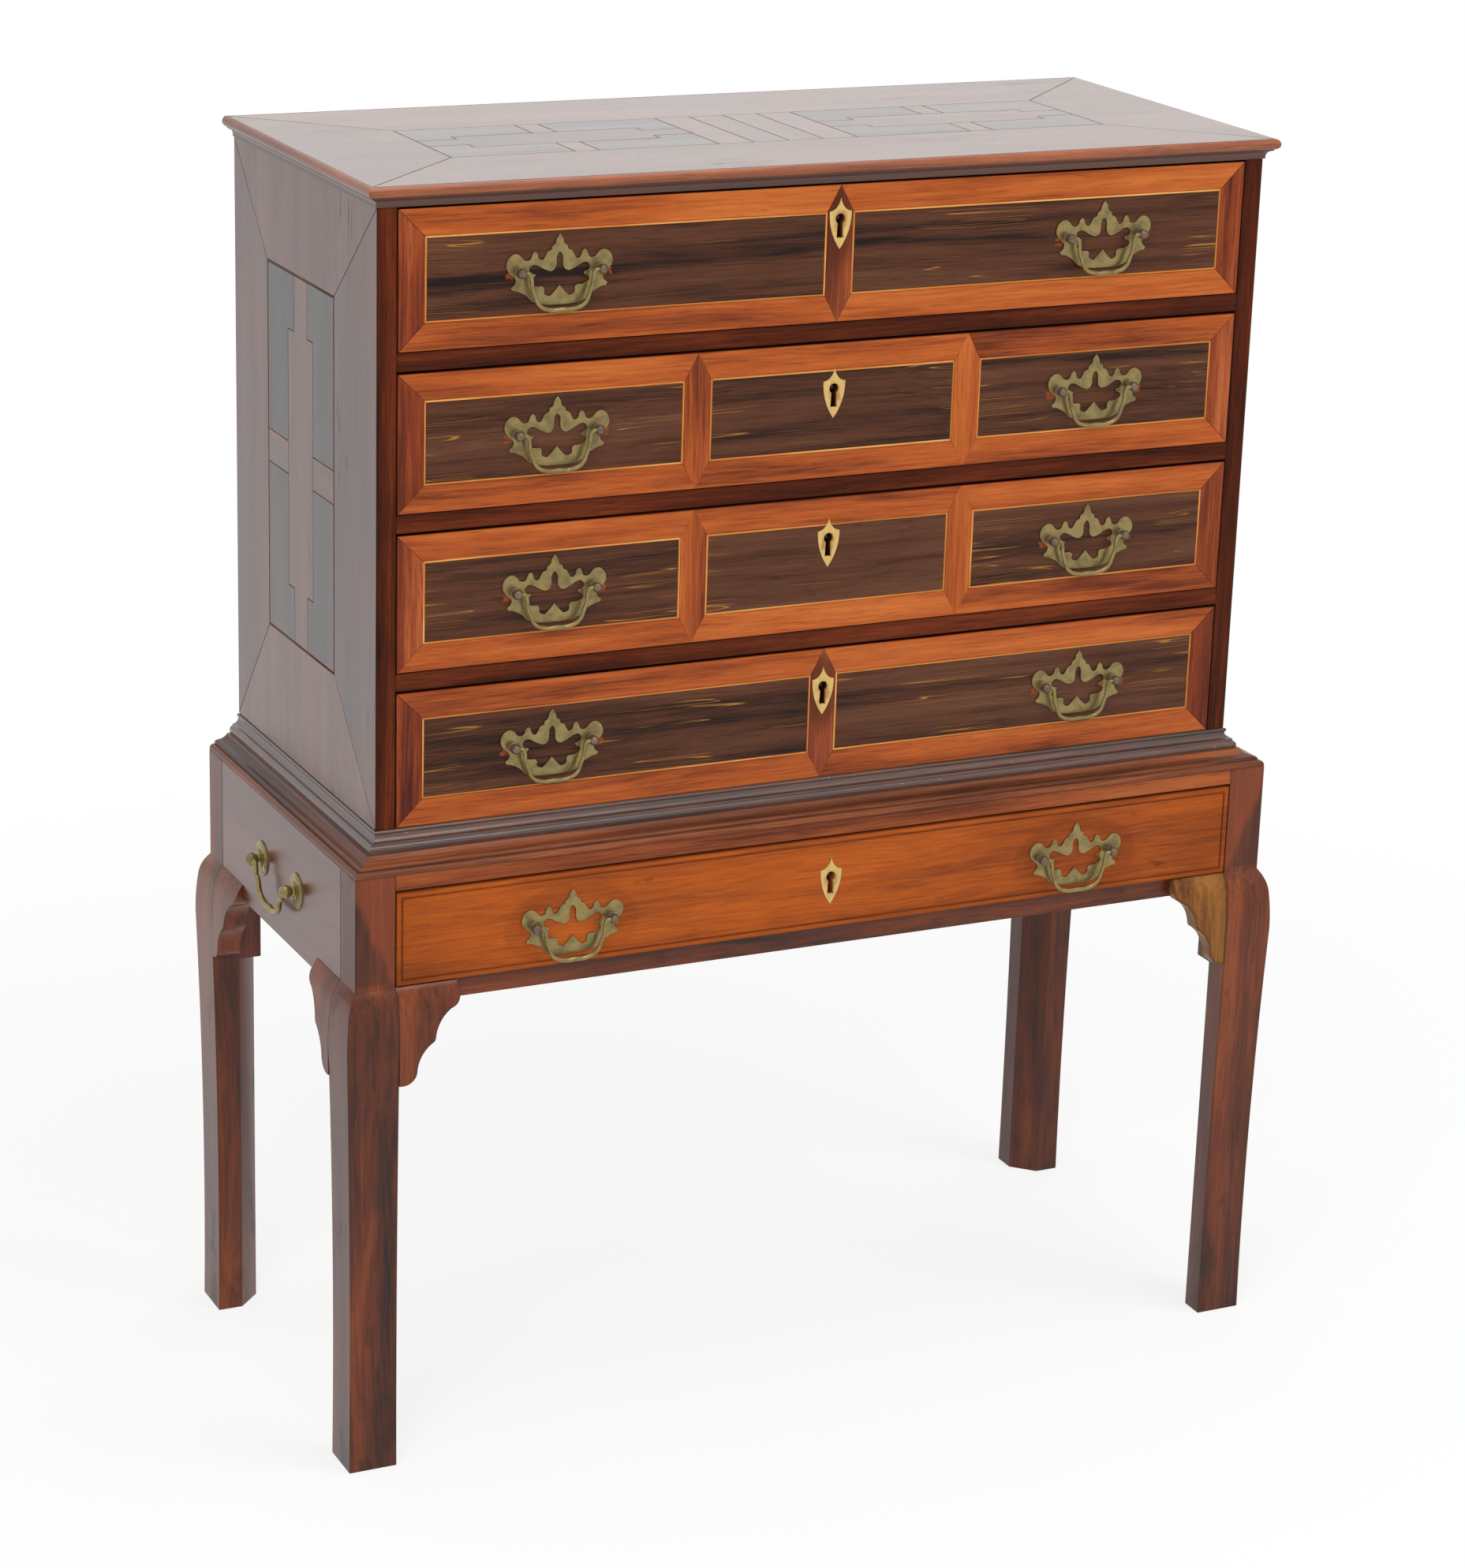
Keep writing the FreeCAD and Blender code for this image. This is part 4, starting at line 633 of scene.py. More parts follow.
def worn_copy(node, arris, steps=2):
    """A CAD node's solids with their flats made whole and their sharp edges eased."""
    form = new_form()
    for faces in node_solids(node):
        corners = {}
        for face in faces:
            ring = []
            for key, point in face:
                if key not in corners:
                    corners[key] = form.verts.new(point)
                ring.append(corners[key])
            if len(set(ring)) == len(ring):
                form.faces.new(ring)
    bmesh.ops.dissolve_limit(
        form, angle_limit=FLAT, use_dissolve_boundaries=False, verts=form.verts, edges=form.edges,
    )
    if arris:
        edges = [e for e in form.edges if e.is_manifold and e.calc_face_angle(0.0) > SHARP]
        bmesh.ops.bevel(
            form, geom=edges, offset=arris, offset_type="OFFSET", segments=steps, profile=0.5,
            affect="EDGES", clamp_overlap=True,
        )
    return form


def lone_solids(form):
    """The separate solids of a form, each as a list of its vertices."""
    left = set(form.verts)
    solids = []
    while left:
        reached = [left.pop()]
        for vertex in reached:
            for edge in vertex.link_edges:
                other = edge.other_vert(vertex)
                if other in left:
                    left.remove(other)
                    reached.append(other)
        solids.append(reached)
    return sorted(solids, key=lambda solid: tuple(round(c, 5) for c in span(solid)[0]))


def span(vertices):
    """Lowest and highest corner of some vertices."""
    low = Vector([min(v.co[i] for v in vertices) for i in range(3)])
    high = Vector([max(v.co[i] for v in vertices) for i in range(3)])
    return low, high


def longest(vertices):
    low, high = span(vertices)
    reach = high - low
    return max(range(3), key=lambda axis: reach[axis])


def lay_grain(form, vertices, along, seed):
    """Write where each vertex lies in its own plank, along the grain first."""
    draw = random.Random(seed)
    grain, tone = form.verts.layers.float_vector["grain"], form.verts.layers.float["tone"]
    shift = Vector([draw.uniform(0.0, GRAIN_SHIFT) for _ in range(3)])
    shade = draw.uniform(-1.0, 1.0)
    order = [along] + [axis for axis in range(3) if axis != along]
    for vertex in vertices:
        vertex[grain] = Vector([vertex.co[axis] for axis in order]) + shift
        vertex[tone] = shade


def paint(vertices, index):
    """Give all faces of some vertices a material of the piece."""
    for face in {face for vertex in vertices for face in vertex.link_faces}:
        face.material_index = index


def make_piece(form, name, body, finishes, nodes=(), soft_angle=20.0):
    """A form as an object of the scene that rides on a body and stands for CAD nodes."""
    mesh = bpy.data.meshes.new(name)
    bmesh.ops.recalc_face_normals(form, faces=form.faces)
    form.to_mesh(mesh)
    form.free()
    mesh.polygons.foreach_set("use_smooth", [True] * len(mesh.polygons))
    mesh.set_sharp_from_angle(angle=math.radians(soft_angle))
    for face in mesh.polygons:
        ring = [mesh.vertices[corner].co for corner in face.vertices]
        reach = max((here - there).length for here, there in zip(ring, ring[1:] + ring[:1]))
        face.use_smooth = face.area < reach * BROAD
    for finish in finishes:
        mesh.materials.append(finish)
    piece = bpy.data.objects.new(name, mesh)
    bpy.context.scene.collection.objects.link(piece)
    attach(piece, body)
    if nodes:
        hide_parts(*nodes)


def board_piece(node, body, finishes, arris, seed, choose, name=None, steps=2):
    """A CAD node's boards, eased and grained; choose tells the finish and the grain of each."""
    form = worn_copy(node, arris, steps)
    for index, solid in enumerate(lone_solids(form)):
        finish, along = choose(solid)
        lay_grain(form, solid, along, seed % index)
        paint(solid, finish)
    woods = [wood_finish(finish) for finish in finishes]
    make_piece(form, name or node + "_worn", body, woods, [node])


def plank_piece(node, body, finish, arris, along=None):
    """A CAD node of plain boards in one finish, grained along one axis or their length."""
    def choose(solid):
        return 0, longest(solid) if along is None else along
    board_piece(node, body, [finish], arris, node + " %d 0", choose)


def drawn_in(outline, gap):
    """An outline with each of its edges moved inwards by a gap."""
    area = sum(a[0] * b[1] - b[0] * a[1] for a, b in zip(outline, outline[1:] + outline[:1]))
    turn = 1.0 if area > 0 else -1.0
    moved = []
    for before, here, after in zip(outline[-1:] + outline[:-1], outline, outline[1:] + outline[:1]):
        first = (Vector(here) - Vector(before)).normalized()
        second = (Vector(after) - Vector(here)).normalized()
        inward = Vector((-first.y, first.x)) * turn
        onward = Vector((-second.y, second.x)) * turn
        mitre = (inward + onward) / max(1.0 + inward.dot(onward), 0.2)
        moved.append(Vector(here) + mitre * gap)
    return moved


def add_leaf(form, outline, stand, base, thick, arris):
    """A flat leaf with eased edges, from an outline that stand turns into points of the frame."""
    rings = []
    for inset, rise in ((0.0, 0.0), (0.0, thick - arris), (arris, thick)):
        ring = [form.verts.new(stand(point, base + rise)) for point in drawn_in(outline, inset)]
        rings.append(ring)
    for lower, upper in zip(rings, rings[1:]):
        for index in range(len(outline)):
            following = (index + 1) % len(outline)
            form.faces.new((lower[index], lower[following], upper[following], upper[index]))
    form.faces.new(rings[-1])
    form.faces.new(list(reversed(rings[0])))
    return [vertex for ring in rings for vertex in ring]


# Finishes of the side and top veneers
BORDER, DARK, LINE = range(3)

# The fretted fields: shares of half a field's width and height
FRET_INNER, FRET_CROSS, FRET_HOOK, FRET_HOOK_FOOT = 0.38, 0.09, 0.2, 0.7


def fret_field(left, bottom, right, top):
    """Four dark hooked leaves, and the strips that part them with whether they lie across."""
    cx, cy = (left + right) / 2, (bottom + top) / 2
    half_x, half_y = (right - left) / 2, (top - bottom) / 2

    def placed(shares, sx=1, sy=1):
        return [(cx + sx * u * half_x, cy + sy * v * half_y) for u, v in shares]

    leaf = [
        (1.0, FRET_CROSS), (1.0, 1.0), (FRET_HOOK, 1.0), (FRET_HOOK, FRET_HOOK_FOOT),
        (FRET_INNER, FRET_HOOK_FOOT), (FRET_INNER, FRET_CROSS),
    ]
    arm = [
        (1.0, -FRET_CROSS), (1.0, FRET_CROSS), (FRET_INNER, FRET_CROSS), (FRET_INNER, -FRET_CROSS),
    ]
    shaft = [
        (FRET_HOOK, 1.0), (FRET_HOOK, FRET_HOOK_FOOT), (FRET_INNER, FRET_HOOK_FOOT),
        (FRET_INNER, -FRET_HOOK_FOOT), (FRET_HOOK, -FRET_HOOK_FOOT), (FRET_HOOK, -1.0),
    ]
    shaft += [(-u, v) for u, v in reversed(shaft)]
    dark = [placed(leaf, sx, sy) for sx in (-1, 1) for sy in (-1, 1)]
    pale = [(placed(arm, sx), True) for sx in (-1, 1)] + [(placed(shaft), False)]
    return dark, pale


def mitred_border(outer, inner, grains, finish):
    """The four mitred leaves between two rectangles: below, above, left and right."""
    (l, b, r, t), (il, ib, ir, it) = outer, inner
    outlines = (
        [(l, b), (r, b), (ir, ib), (il, ib)], [(l, t), (il, it), (ir, it), (r, t)],
        [(l, b), (il, ib), (il, it), (l, t)], [(r, b), (r, t), (ir, it), (ir, ib)],
    )
    return [(outline, along, finish) for outline, along in zip(outlines, grains)]


LEAF_EDGE = 0.15 * MM


def lay_leaves(form, leaves, stand, base, seed, joint):
    """Add leaves given as (outline, grain axis, finish index)."""
    for number, (outline, along, finish) in enumerate(leaves):
        fitted = drawn_in(outline, joint / 2)
        vertices = add_leaf(form, fitted, stand, base, sizes().leaf_thick, LEAF_EDGE)
        lay_grain(form, vertices, along, "%s %d" % (seed, number))
        paint(vertices, finish)


# Operators

class CHEST_OT_carcass(bpy.types.Operator):
    """Sides, rails, bottom, runners and back of the chest"""

    bl_idname = "chest.carcass"
    bl_label = "Carcass"

    def execute(self, context):
        arris = sizes().board_arris
        for side, _ in SIDES:
            plank_piece(side + "_side", CARCASS, "rail", arris, ALONG_Z)
        plank_piece("divider_rails", CARCASS, "rail", arris, ALONG_X)
        plank_piece("chest_bottom", CARCASS, "lining", arris, ALONG_X)
        plank_piece("drawer_runners", CARCASS, "lining", arris, ALONG_Y)
        plank_piece("back_boards", CARCASS, "lining", arris)
        return {"FINISHED"}


class CHEST_OT_side_veneers(bpy.types.Operator):
    """Mitred borders and fretted fields of veneer on the chest's sides"""

    bl_idname = "chest.side_veneers"
    bl_label = "Side veneers"

    FIELD_SHIFT = (2 * MM, 12 * MM, 12 * MM, 6 * MM)     # of the field's edges from an even border
    LINE_WIDTH = 1.6 * MM

    def execute(self, context):
        low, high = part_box("left_side")
        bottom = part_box("waist_moulding")[1].z
        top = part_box("top_moulding")[0].z
        outer = (low.y, bottom, high.y, top)
        border = sizes().border_width
        left, below, right, above = self.FIELD_SHIFT
        inner = (
            low.y + border + left, bottom + border + below,
            high.y - border + right, top - border + above,
        )
        leaves = self.leaves(outer, inner)
        finishes = [wood_finish(name) for name in ("side", "side_dark", "end_banding")]
        for side, sign in SIDES:
            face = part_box(side + "_side")[0 if sign < 0 else 1].x
            form = new_form()

            def stand(point, out, sign=sign):
                return sign * out, point[0], point[1]

            lay_leaves(form, leaves, stand, abs(face), side, sizes().leaf_joint)
            make_piece(form, side + "_veneers", CARCASS, finishes)
        return {"FINISHED"}

    def leaves(self, outer, inner):
        """Leaves of a mitred border and a thin line round one fretted field."""
        left, bottom, right, top = inner
        line = self.LINE_WIDTH
        field = (left + line, bottom + line, right - line, top - line)
        leaves = mitred_border(outer, inner, (ALONG_Z,) * 4, BORDER)
        leaves += mitred_border(inner, field, (ALONG_Y, ALONG_Y, ALONG_Z, ALONG_Z), LINE)
        dark, pale = fret_field(*field)
        leaves += [(outline, ALONG_Z, DARK) for outline in dark]
        leaves += [(outline, ALONG_Y if across else ALONG_Z, BORDER) for outline, across in pale]
        return leaves


class CHEST_OT_top(bpy.types.Operator):
    """Top board with its veneers and the moulding under its edge"""

    bl_idname = "chest.top"
    bl_label = "Top"

    EDGE, BORDER_ENDS, BORDER_SIDES = 4 * MM, 118 * MM, 116 * MM
    MIDDLE, STRIPS = 70 * MM, 4     # half the width between the two fields, and the strips in it
    SUNK = 0.3 * MM                 # how deep the veneers lie in the board
    BOARD_ARRIS, EDGE_ARRIS = 1.2 * MM, 0.4 * MM

    def execute(self, context):
        plank_piece("top_board", CARCASS, "rail", self.BOARD_ARRIS, ALONG_X)
        plank_piece("top_moulding", CARCASS, "top_edge", self.EDGE_ARRIS)
        low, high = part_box("top_moulding")
        outer = (low.x + self.EDGE, low.y + self.EDGE, high.x - self.EDGE, high.y - self.EDGE)
        left, front, right, back = (
            outer[0] + self.BORDER_ENDS, outer[1] + self.BORDER_SIDES,
            outer[2] - self.BORDER_ENDS, outer[3] - self.BORDER_SIDES,
        )
        leaves = mitred_border(outer, (left, front, right, back), (ALONG_X,) * 4, BORDER)
        for start, end in ((left, -self.MIDDLE), (self.MIDDLE, right)):
            dark, pale = fret_field(front, start, back, end)
            leaves += [([(y, x) for x, y in outline], ALONG_X, DARK) for outline in dark]
            leaves += [([(y, x) for x, y in outline], ALONG_Y if across else ALONG_X, BORDER)
                       for outline, across in pale]
        width = 2 * self.MIDDLE / self.STRIPS
        for step in range(self.STRIPS):
            x = -self.MIDDLE + width * step
            strip = [(x, front), (x + width, front), (x + width, back), (x, back)]
            leaves.append((strip, ALONG_Y, BORDER))
        form = new_form()

        def stand(point, out):
            return point[0], point[1], out

        lay_leaves(form, leaves, stand, high.z - self.SUNK, "top", sizes().top_joint)
        finishes = [wood_finish("top"), wood_finish("top_dark")]
        make_piece(form, "top_veneers", CARCASS, finishes)
        return {"FINISHED"}


class CHEST_OT_mouldings(bpy.types.Operator):
    """Dark mouldings at the foot of the chest and round the stand's top"""

    bl_idname = "chest.mouldings"
    bl_label = "Mouldings"

    ARRIS = 0.5 * MM

    def execute(self, context):
        plank_piece("waist_moulding", CARCASS, "ebonised", self.ARRIS)
        plank_piece("stand_moulding", CARCASS, "stand_moulding", self.ARRIS)
        return {"FINISHED"}


class CHEST_OT_stand(bpy.types.Operator):
    """Legs, rails, aprons and brackets of the stand"""

    bl_idname = "chest.stand"
    bl_label = "Stand"

    BELOW = 5.0 * MM      # the bottom rail ends no higher than this above the drawer's lower edge
    FAR_RIGHT = 0.3       # brackets beyond this belong to the right legs
    RAIL_ARRIS, BRACKET_ARRIS = 0.8 * MM, 0.4 * MM

    def execute(self, context):
        for end in ("front", "back"):
            for side, _ in SIDES:
                leg = "leg_%s_%s" % (end, side)
                plank_piece(leg, CARCASS, "stand", sizes().stand_arris, ALONG_Z)
        board_piece("stand_front_rails", CARCASS, ("stand_rail", "stand"),
                    self.RAIL_ARRIS, "front rail %d", self.rail)
        plank_piece("stand_aprons", CARCASS, "apron", self.RAIL_ARRIS)
        board_piece("knee_brackets", CARCASS, ("stand", "repair"),
                    self.BRACKET_ARRIS, "bracket %d", self.bracket)
        return {"FINISHED"}

    def rail(self, solid):
        """The bottom rail is of the legs' wood."""
        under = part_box("stand_drawer_front")[0].z
        return int(span(solid)[1].z < under + self.BELOW), ALONG_X

    def bracket(self, solid):
        """The bracket in front of the right leg's inner side is a repair."""
        low, high = span(solid)
        wide = high.x - low.x > high.y - low.y
        return int(low.x > self.FAR_RIGHT and high.y < 0.0 and wide), ALONG_Z


class CHEST_OT_drawer_fronts(bpy.types.Operator):
    """Veneered fronts of the four chest drawers and the solid front of the stand's"""

    bl_idname = "chest.drawer_fronts"
    bl_label = "Drawer fronts"

    CORE, PANEL, BANDING, END_BANDING, STRING, LOZENGE = range(6)
    FINISHES = ("rail", "panel", "banding", "end_banding", "string", "lozenge")

    # What tells the solids of a front apart: cores are deeper and the others narrower than these
    VENEER_DEPTH, STRING_WIDTH, UPRIGHT_WIDTH, BANDING_WIDTH = 5 * MM, 3 * MM, 30 * MM, 40 * MM
    END_REACH = 20 * MM     # end bandings lie this near the front's ends
    SOLID_ARRIS = 0.5 * MM

    def execute(self, context):
        for drawer in CHEST_DRAWERS:
            board_piece(
                drawer + "_front", drawer, self.FINISHES, sizes().leaf_arris,
                drawer + " %d", functools.partial(self.leaf, drawer), drawer + "_veneers", 1)
        plank_piece("stand_drawer_front", "stand_drawer", "stand_front",
                    self.SOLID_ARRIS, ALONG_X)
        return {"FINISHED"}

    def leaf(self, drawer, solid):
        """The finish and the grain of a front's core or of one of its leaves."""
        kind = self.kind(solid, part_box(drawer + "_front")[1].x)
        along = ALONG_Z if kind in (self.END_BANDING, self.LOZENGE) else ALONG_X
        if kind == self.LOZENGE and drawer in PAIRED_LOZENGES:
            kind = self.BANDING
        return kind, longest(solid) if kind == self.STRING else along

    def kind(self, solid, half_width):
        """Which of the front's finishes a solid has, told by its size and place."""
        low, high = span(solid)
        reach = high - low
        if reach.y > self.VENEER_DEPTH:
            return self.CORE
        if min(reach.x, reach.z) < self.STRING_WIDTH:
            return self.STRING
        if reach.x < self.UPRIGHT_WIDTH:
            outermost = abs(low.x + high.x) / 2 > half_width - self.END_REACH
            return self.END_BANDING if outermost else self.LOZENGE
        return self.BANDING if reach.z < self.BANDING_WIDTH else self.PANEL


class CHEST_OT_drawer_boxes(bpy.types.Operator):
    """Dovetailed drawer boxes, bare inside"""

    bl_idname = "chest.drawer_boxes"
    bl_label = "Drawer boxes"

    ARRIS = 0.4 * MM

    def execute(self, context):
        for drawer in ALL_DRAWERS:
            plank_piece(drawer + "_box", drawer, "lining", self.ARRIS)
        return {"FINISHED"}


# Half outlines of the pull plate in millimetres from the middle of the line between its posts:
# (across, up) and True at a corner, the outer one from its finial to its foot and then the piercing
PLATE_OUTER = (
    (0.0, 32.0, True), (2.9, 28.0), (4.4, 23.2), (7.2, 21.2), (8.0, 18.4),
    (11.6, 16.5), (13.8, 12.6), (16.6, 9.6), (19.8, 11.4), (21.2, 15.6),
    (23.5, 17.2), (25.8, 15.0), (27.5, 10.9), (30.4, 9.6), (33.6, 10.6),
    (36.8, 14.2), (41.2, 16.2), (46.2, 14.3), (49.4, 9.5), (49.8, 4.6),
    (47.6, 0.2), (44.0, -3.2), (41.4, -6.0), (41.8, -10.0), (45.4, -13.2, True),
    (44.4, -15.4), (40.2, -16.4), (36.8, -17.8), (34.0, -19.2), (30.4, -21.4),
    (27.0, -25.2), (21.0, -28.2), (12.0, -29.8), (0.0, -30.2),
)
PLATE_INNER = (
    (0.0, 15.9), (2.4, 13.4), (3.1, 8.8, True), (3.2, 4.6), (4.4, 1.6),
    (8.0, -0.5), (12.0, 0.4), (17.2, 3.0), (20.7, 5.0), (24.7, 5.8),
    (27.7, 4.0), (28.6, 1.2), (26.8, -1.4), (22.4, -2.8, True), (24.0, -5.2),
    (27.0, -6.6), (28.0, -9.0), (25.6, -11.9), (21.0, -13.4), (15.6, -14.0),
    (14.2, -16.4, True), (14.4, -19.6), (12.4, -21.6), (9.0, -22.4, True), (5.6, -19.4),
    (0.0, -13.0, True),
)


def full_outline(half):
    """Both halves of an outline that mirrors across its middle."""
    right = [(x, z, bool(corner)) for x, z, *corner in half]
    return right + [(-x, z, corner) for x, z, corner in reversed(right[1:-1])]


def swept_curve(name, dimensions, resolution):
    curve = bpy.data.curves.new(name, "CURVE")
    curve.dimensions = dimensions
    curve.resolution_u = resolution
    return curve


def curve_form(curve):
    """A curve's surface as a form, and the curve gone."""
    holder = bpy.data.objects.new(curve.name, curve)
    mesh = bpy.data.meshes.new_from_object(holder)
    form = bmesh.new()
    form.from_mesh(mesh)
    bmesh.ops.remove_doubles(form, verts=form.verts, dist=0.01 * MM)
    bpy.data.objects.remove(holder)
    bpy.data.curves.remove(curve)
    bpy.data.meshes.remove(mesh)
    return form


def plate_form(thick):
    """A pierced cast plate with filed edges, its back on the plane y = 0."""
    curve = swept_curve("plate_outline", "2D", 5)
    curve.fill_mode = "BOTH"
    edge = sizes().plate_round
    curve.extrude = thick / 2 - edge
    curve.bevel_depth = edge
    curve.bevel_resolution = 1
    curve.offset = -edge
    for half in (PLATE_OUTER, PLATE_INNER):
        points = full_outline(half)
        spline = curve.splines.new("BEZIER")
        spline.bezier_points.add(len(points) - 1)
        for point, (x, z, corner) in zip(spline.bezier_points, points):
            point.co = (x * MM, z * MM, 0.0)
            point.handle_left_type = point.handle_right_type = "VECTOR" if corner else "AUTO"
        spline.use_cyclic_u = True
    form = curve_form(curve)
    upright = Matrix.Rotation(math.radians(90.0), 4, "X")
    form.transform(Matrix.Translation((0.0, -thick / 2, 0.0)) @ upright)
    return form


def turned_form(profile, steps=28):
    """A piece turned about the Y axis from (y, radius) corners; a closed profile makes a ring."""
    form = bmesh.new()
    turns = [2 * math.pi * step / steps for step in range(steps)]
    rings = []
    for y, radius in profile:
        if rings and (y, radius) == profile[0]:
            rings.append(rings[0])
            continue
        if radius < 1e-6:
            rings.append([form.verts.new((0.0, y, 0.0))])
            continue
        points = [(radius * math.cos(turn), y, radius * math.sin(turn)) for turn in turns]
        rings.append([form.verts.new(point) for point in points])
    for first, second in zip(rings, rings[1:]):
        for step in range(steps):
            following = (step + 1) % steps
            corners = [first[step % len(first)], first[following % len(first)],
                       second[following % len(second)], second[step % len(second)]]
            form.faces.new(list(dict.fromkeys(corners)))
    return form


def add_form(whole, part, place, finish=0):
    """Add a part to a whole form at a place, in one of the whole's finishes."""
    for face in part.faces:
        face.material_index = finish
    part.transform(place)
    mesh = bpy.data.meshes.new("part")
    part.to_mesh(mesh)
    part.free()
    whole.from_mesh(mesh)
    bpy.data.meshes.remove(mesh)


class Handle:
    """Posts through a board, nuts behind it and a bail, in the lengths of the kind of handle."""

    NUT, NUT_THICK, NUT_CHAMFER, NUT_SIDES = 6.0 * MM, 4.0 * MM, 1.0 * MM, 6
    TAIL = 5.5 * MM             # how far a post reaches past its board
    BALL = range(0, 140, 12)    # degrees round a post's head, from its front to the neck
    BAIL_SOFT = 50.0            # bails are shaded round across bends up to this many degrees

    def post(self, seat):
        """Profile of a ball head, a waisted neck, a collar on the seat and a long shaft."""
        head, neck, collar = self.HEAD, self.NECK, self.COLLAR
        foot, tail = seat - self.COLLAR_THICK, self.BOARD + self.TAIL
        turns = [math.radians(degrees) for degrees in self.BALL]
        ball = [(-self.STANDOFF - head * math.cos(t), head * math.sin(t)) for t in turns]
        ball[0] = (-self.STANDOFF - head, 0.0)
        return ball + [
            (foot - 1.2 * MM, neck), (foot, neck * 1.25), (foot, collar * 0.86),
            (foot + 0.35 * self.COLLAR_THICK, collar), (seat, collar), (seat, self.SHAFT),
            (tail, self.SHAFT), (tail, 0.0),
        ]

    def nut(self):
        seat, end = self.BOARD, self.BOARD + self.NUT_THICK
        bore, reach, chamfer = self.SHAFT, self.NUT, self.NUT_CHAMFER
        rim = [(end - chamfer, reach), (end, reach - chamfer)] if chamfer else [(end, reach)]
        profile = [(seat, bore), (seat, reach), *rim, (end, bore), (seat, bore)]
        return turned_form(profile, self.NUT_SIDES)

    def bail(self, swell):
        """A swan-neck bail about the middle of its hinge line, thickest at the grip."""
        head, rod, drop, corner = self.HEAD, self.ROD, self.DROP, self.CORNER
        half = self.SPACING / 2
        inner = half - head
        path = [
            (half + 0.45 * head, 0.0, rod), (inner, 0.0, rod), (inner - 1.4 * rod, -0.4 * rod, rod),
            (inner - 2.1 * rod, -2.2 * rod, 0.92 * rod),
            (inner - 2.6 * rod, -0.38 * drop, 0.86 * rod),
            (inner - 3.6 * rod, -drop + corner, 0.9 * rod),
            (inner - 3.9 * rod - 0.3 * corner, -drop + 0.3 * corner, rod),
            (inner - 4.2 * rod - corner, -drop, 0.5 * (rod + swell)), (0.0, -drop, swell),
        ]
        path += [(-x, z, radius) for x, z, radius in reversed(path[:-1])]
        curve = swept_curve("bail_path", "3D", 6)
        curve.bevel_depth = 1.0
        curve.bevel_resolution = 4
        curve.use_fill_caps = True
        spline = curve.splines.new("BEZIER")
        spline.bezier_points.add(len(path) - 1)
        for point, (x, z, radius) in zip(spline.bezier_points, path):
            point.co = (x, 0.0, z)
            point.radius = radius
            point.handle_left_type = point.handle_right_type = "AUTO"
        return curve_form(curve)

    def hang(self, form, name, seat, turn, post, finish, swell):
        """Add posts and nuts to a form at a seat on the board, and make the bail they hold."""
        for end in (-0.5, 0.5):
            at = seat @ Matrix.Translation((end * self.SPACING, 0.0, 0.0))
            add_form(form, turned_form(post), at, finish)
            add_form(form, self.nut(), at)
        bail = self.bail(swell)
        bail.transform(Matrix.Translation(hinge_of(name + "_hinge")) @ turn)
        brass = [metal("cast_brass")]
        make_piece(bail, name + "_cast", name, brass, [name], self.BAIL_SOFT)


class CHEST_OT_pulls(Handle, bpy.types.Operator):
    """Pierced plates, posts, nuts and bails of the ten drawer pulls"""

    bl_idname = "chest.pulls"
    bl_label = "Pulls"

    SPACING, DROP, CORNER, ROD = 76.2 * MM, 33.5 * MM, 15.0 * MM, 2.0 * MM
    STANDOFF, HEAD, SHAFT = 8.5 * MM, 4.6 * MM, 2.1 * MM
    NECK, COLLAR, COLLAR_THICK = 0.52 * HEAD, 4.4 * MM, 1.4 * MM
    PLATE, BOARD = 1.6 * MM, 19.0 * MM

    def execute(self, context):
        post = self.post(-self.PLATE)
        finishes = [metal("cast_brass"), metal("post_metal")]
        for drawer in ALL_DRAWERS:
            form = bmesh.new()
            for side, _ in SIDES:
                name = "%s_bail_%s" % (drawer, side)
                hinge = hinge_of(name + "_hinge")
                seat = Matrix.Translation((hinge.x, hinge.y + self.STANDOFF, hinge.z))
                add_form(form, plate_form(self.PLATE), seat)
                self.hang(form, name, seat, Matrix(), post, 1, sizes().bail_swell)
            plates = drawer + "_pull_plates"
            make_piece(form, plates, drawer, finishes, [drawer + "_pulls"])
        return {"FINISHED"}


class CHEST_OT_locks(bpy.types.Operator):
    """Bone shields, lock cases and bolts"""

    bl_idname = "chest.locks"
    bl_label = "Shields and locks"

    ARRIS = 0.3 * MM

    def execute(self, context):
        for drawer in ALL_DRAWERS:
            node = drawer + "_escutcheon"
            form = worn_copy(node, sizes().shield_arris)
            make_piece(form, drawer + "_shield", drawer, [bone("aged_bone")], [node])
            for node, body in ((drawer + "_lock", drawer), (drawer + "_bolt", drawer + "_bolt")):
                form = worn_copy(node, self.ARRIS, 1)
                make_piece(form, node + "_filed", body, [metal("dull_iron")], [node])
        return {"FINISHED"}


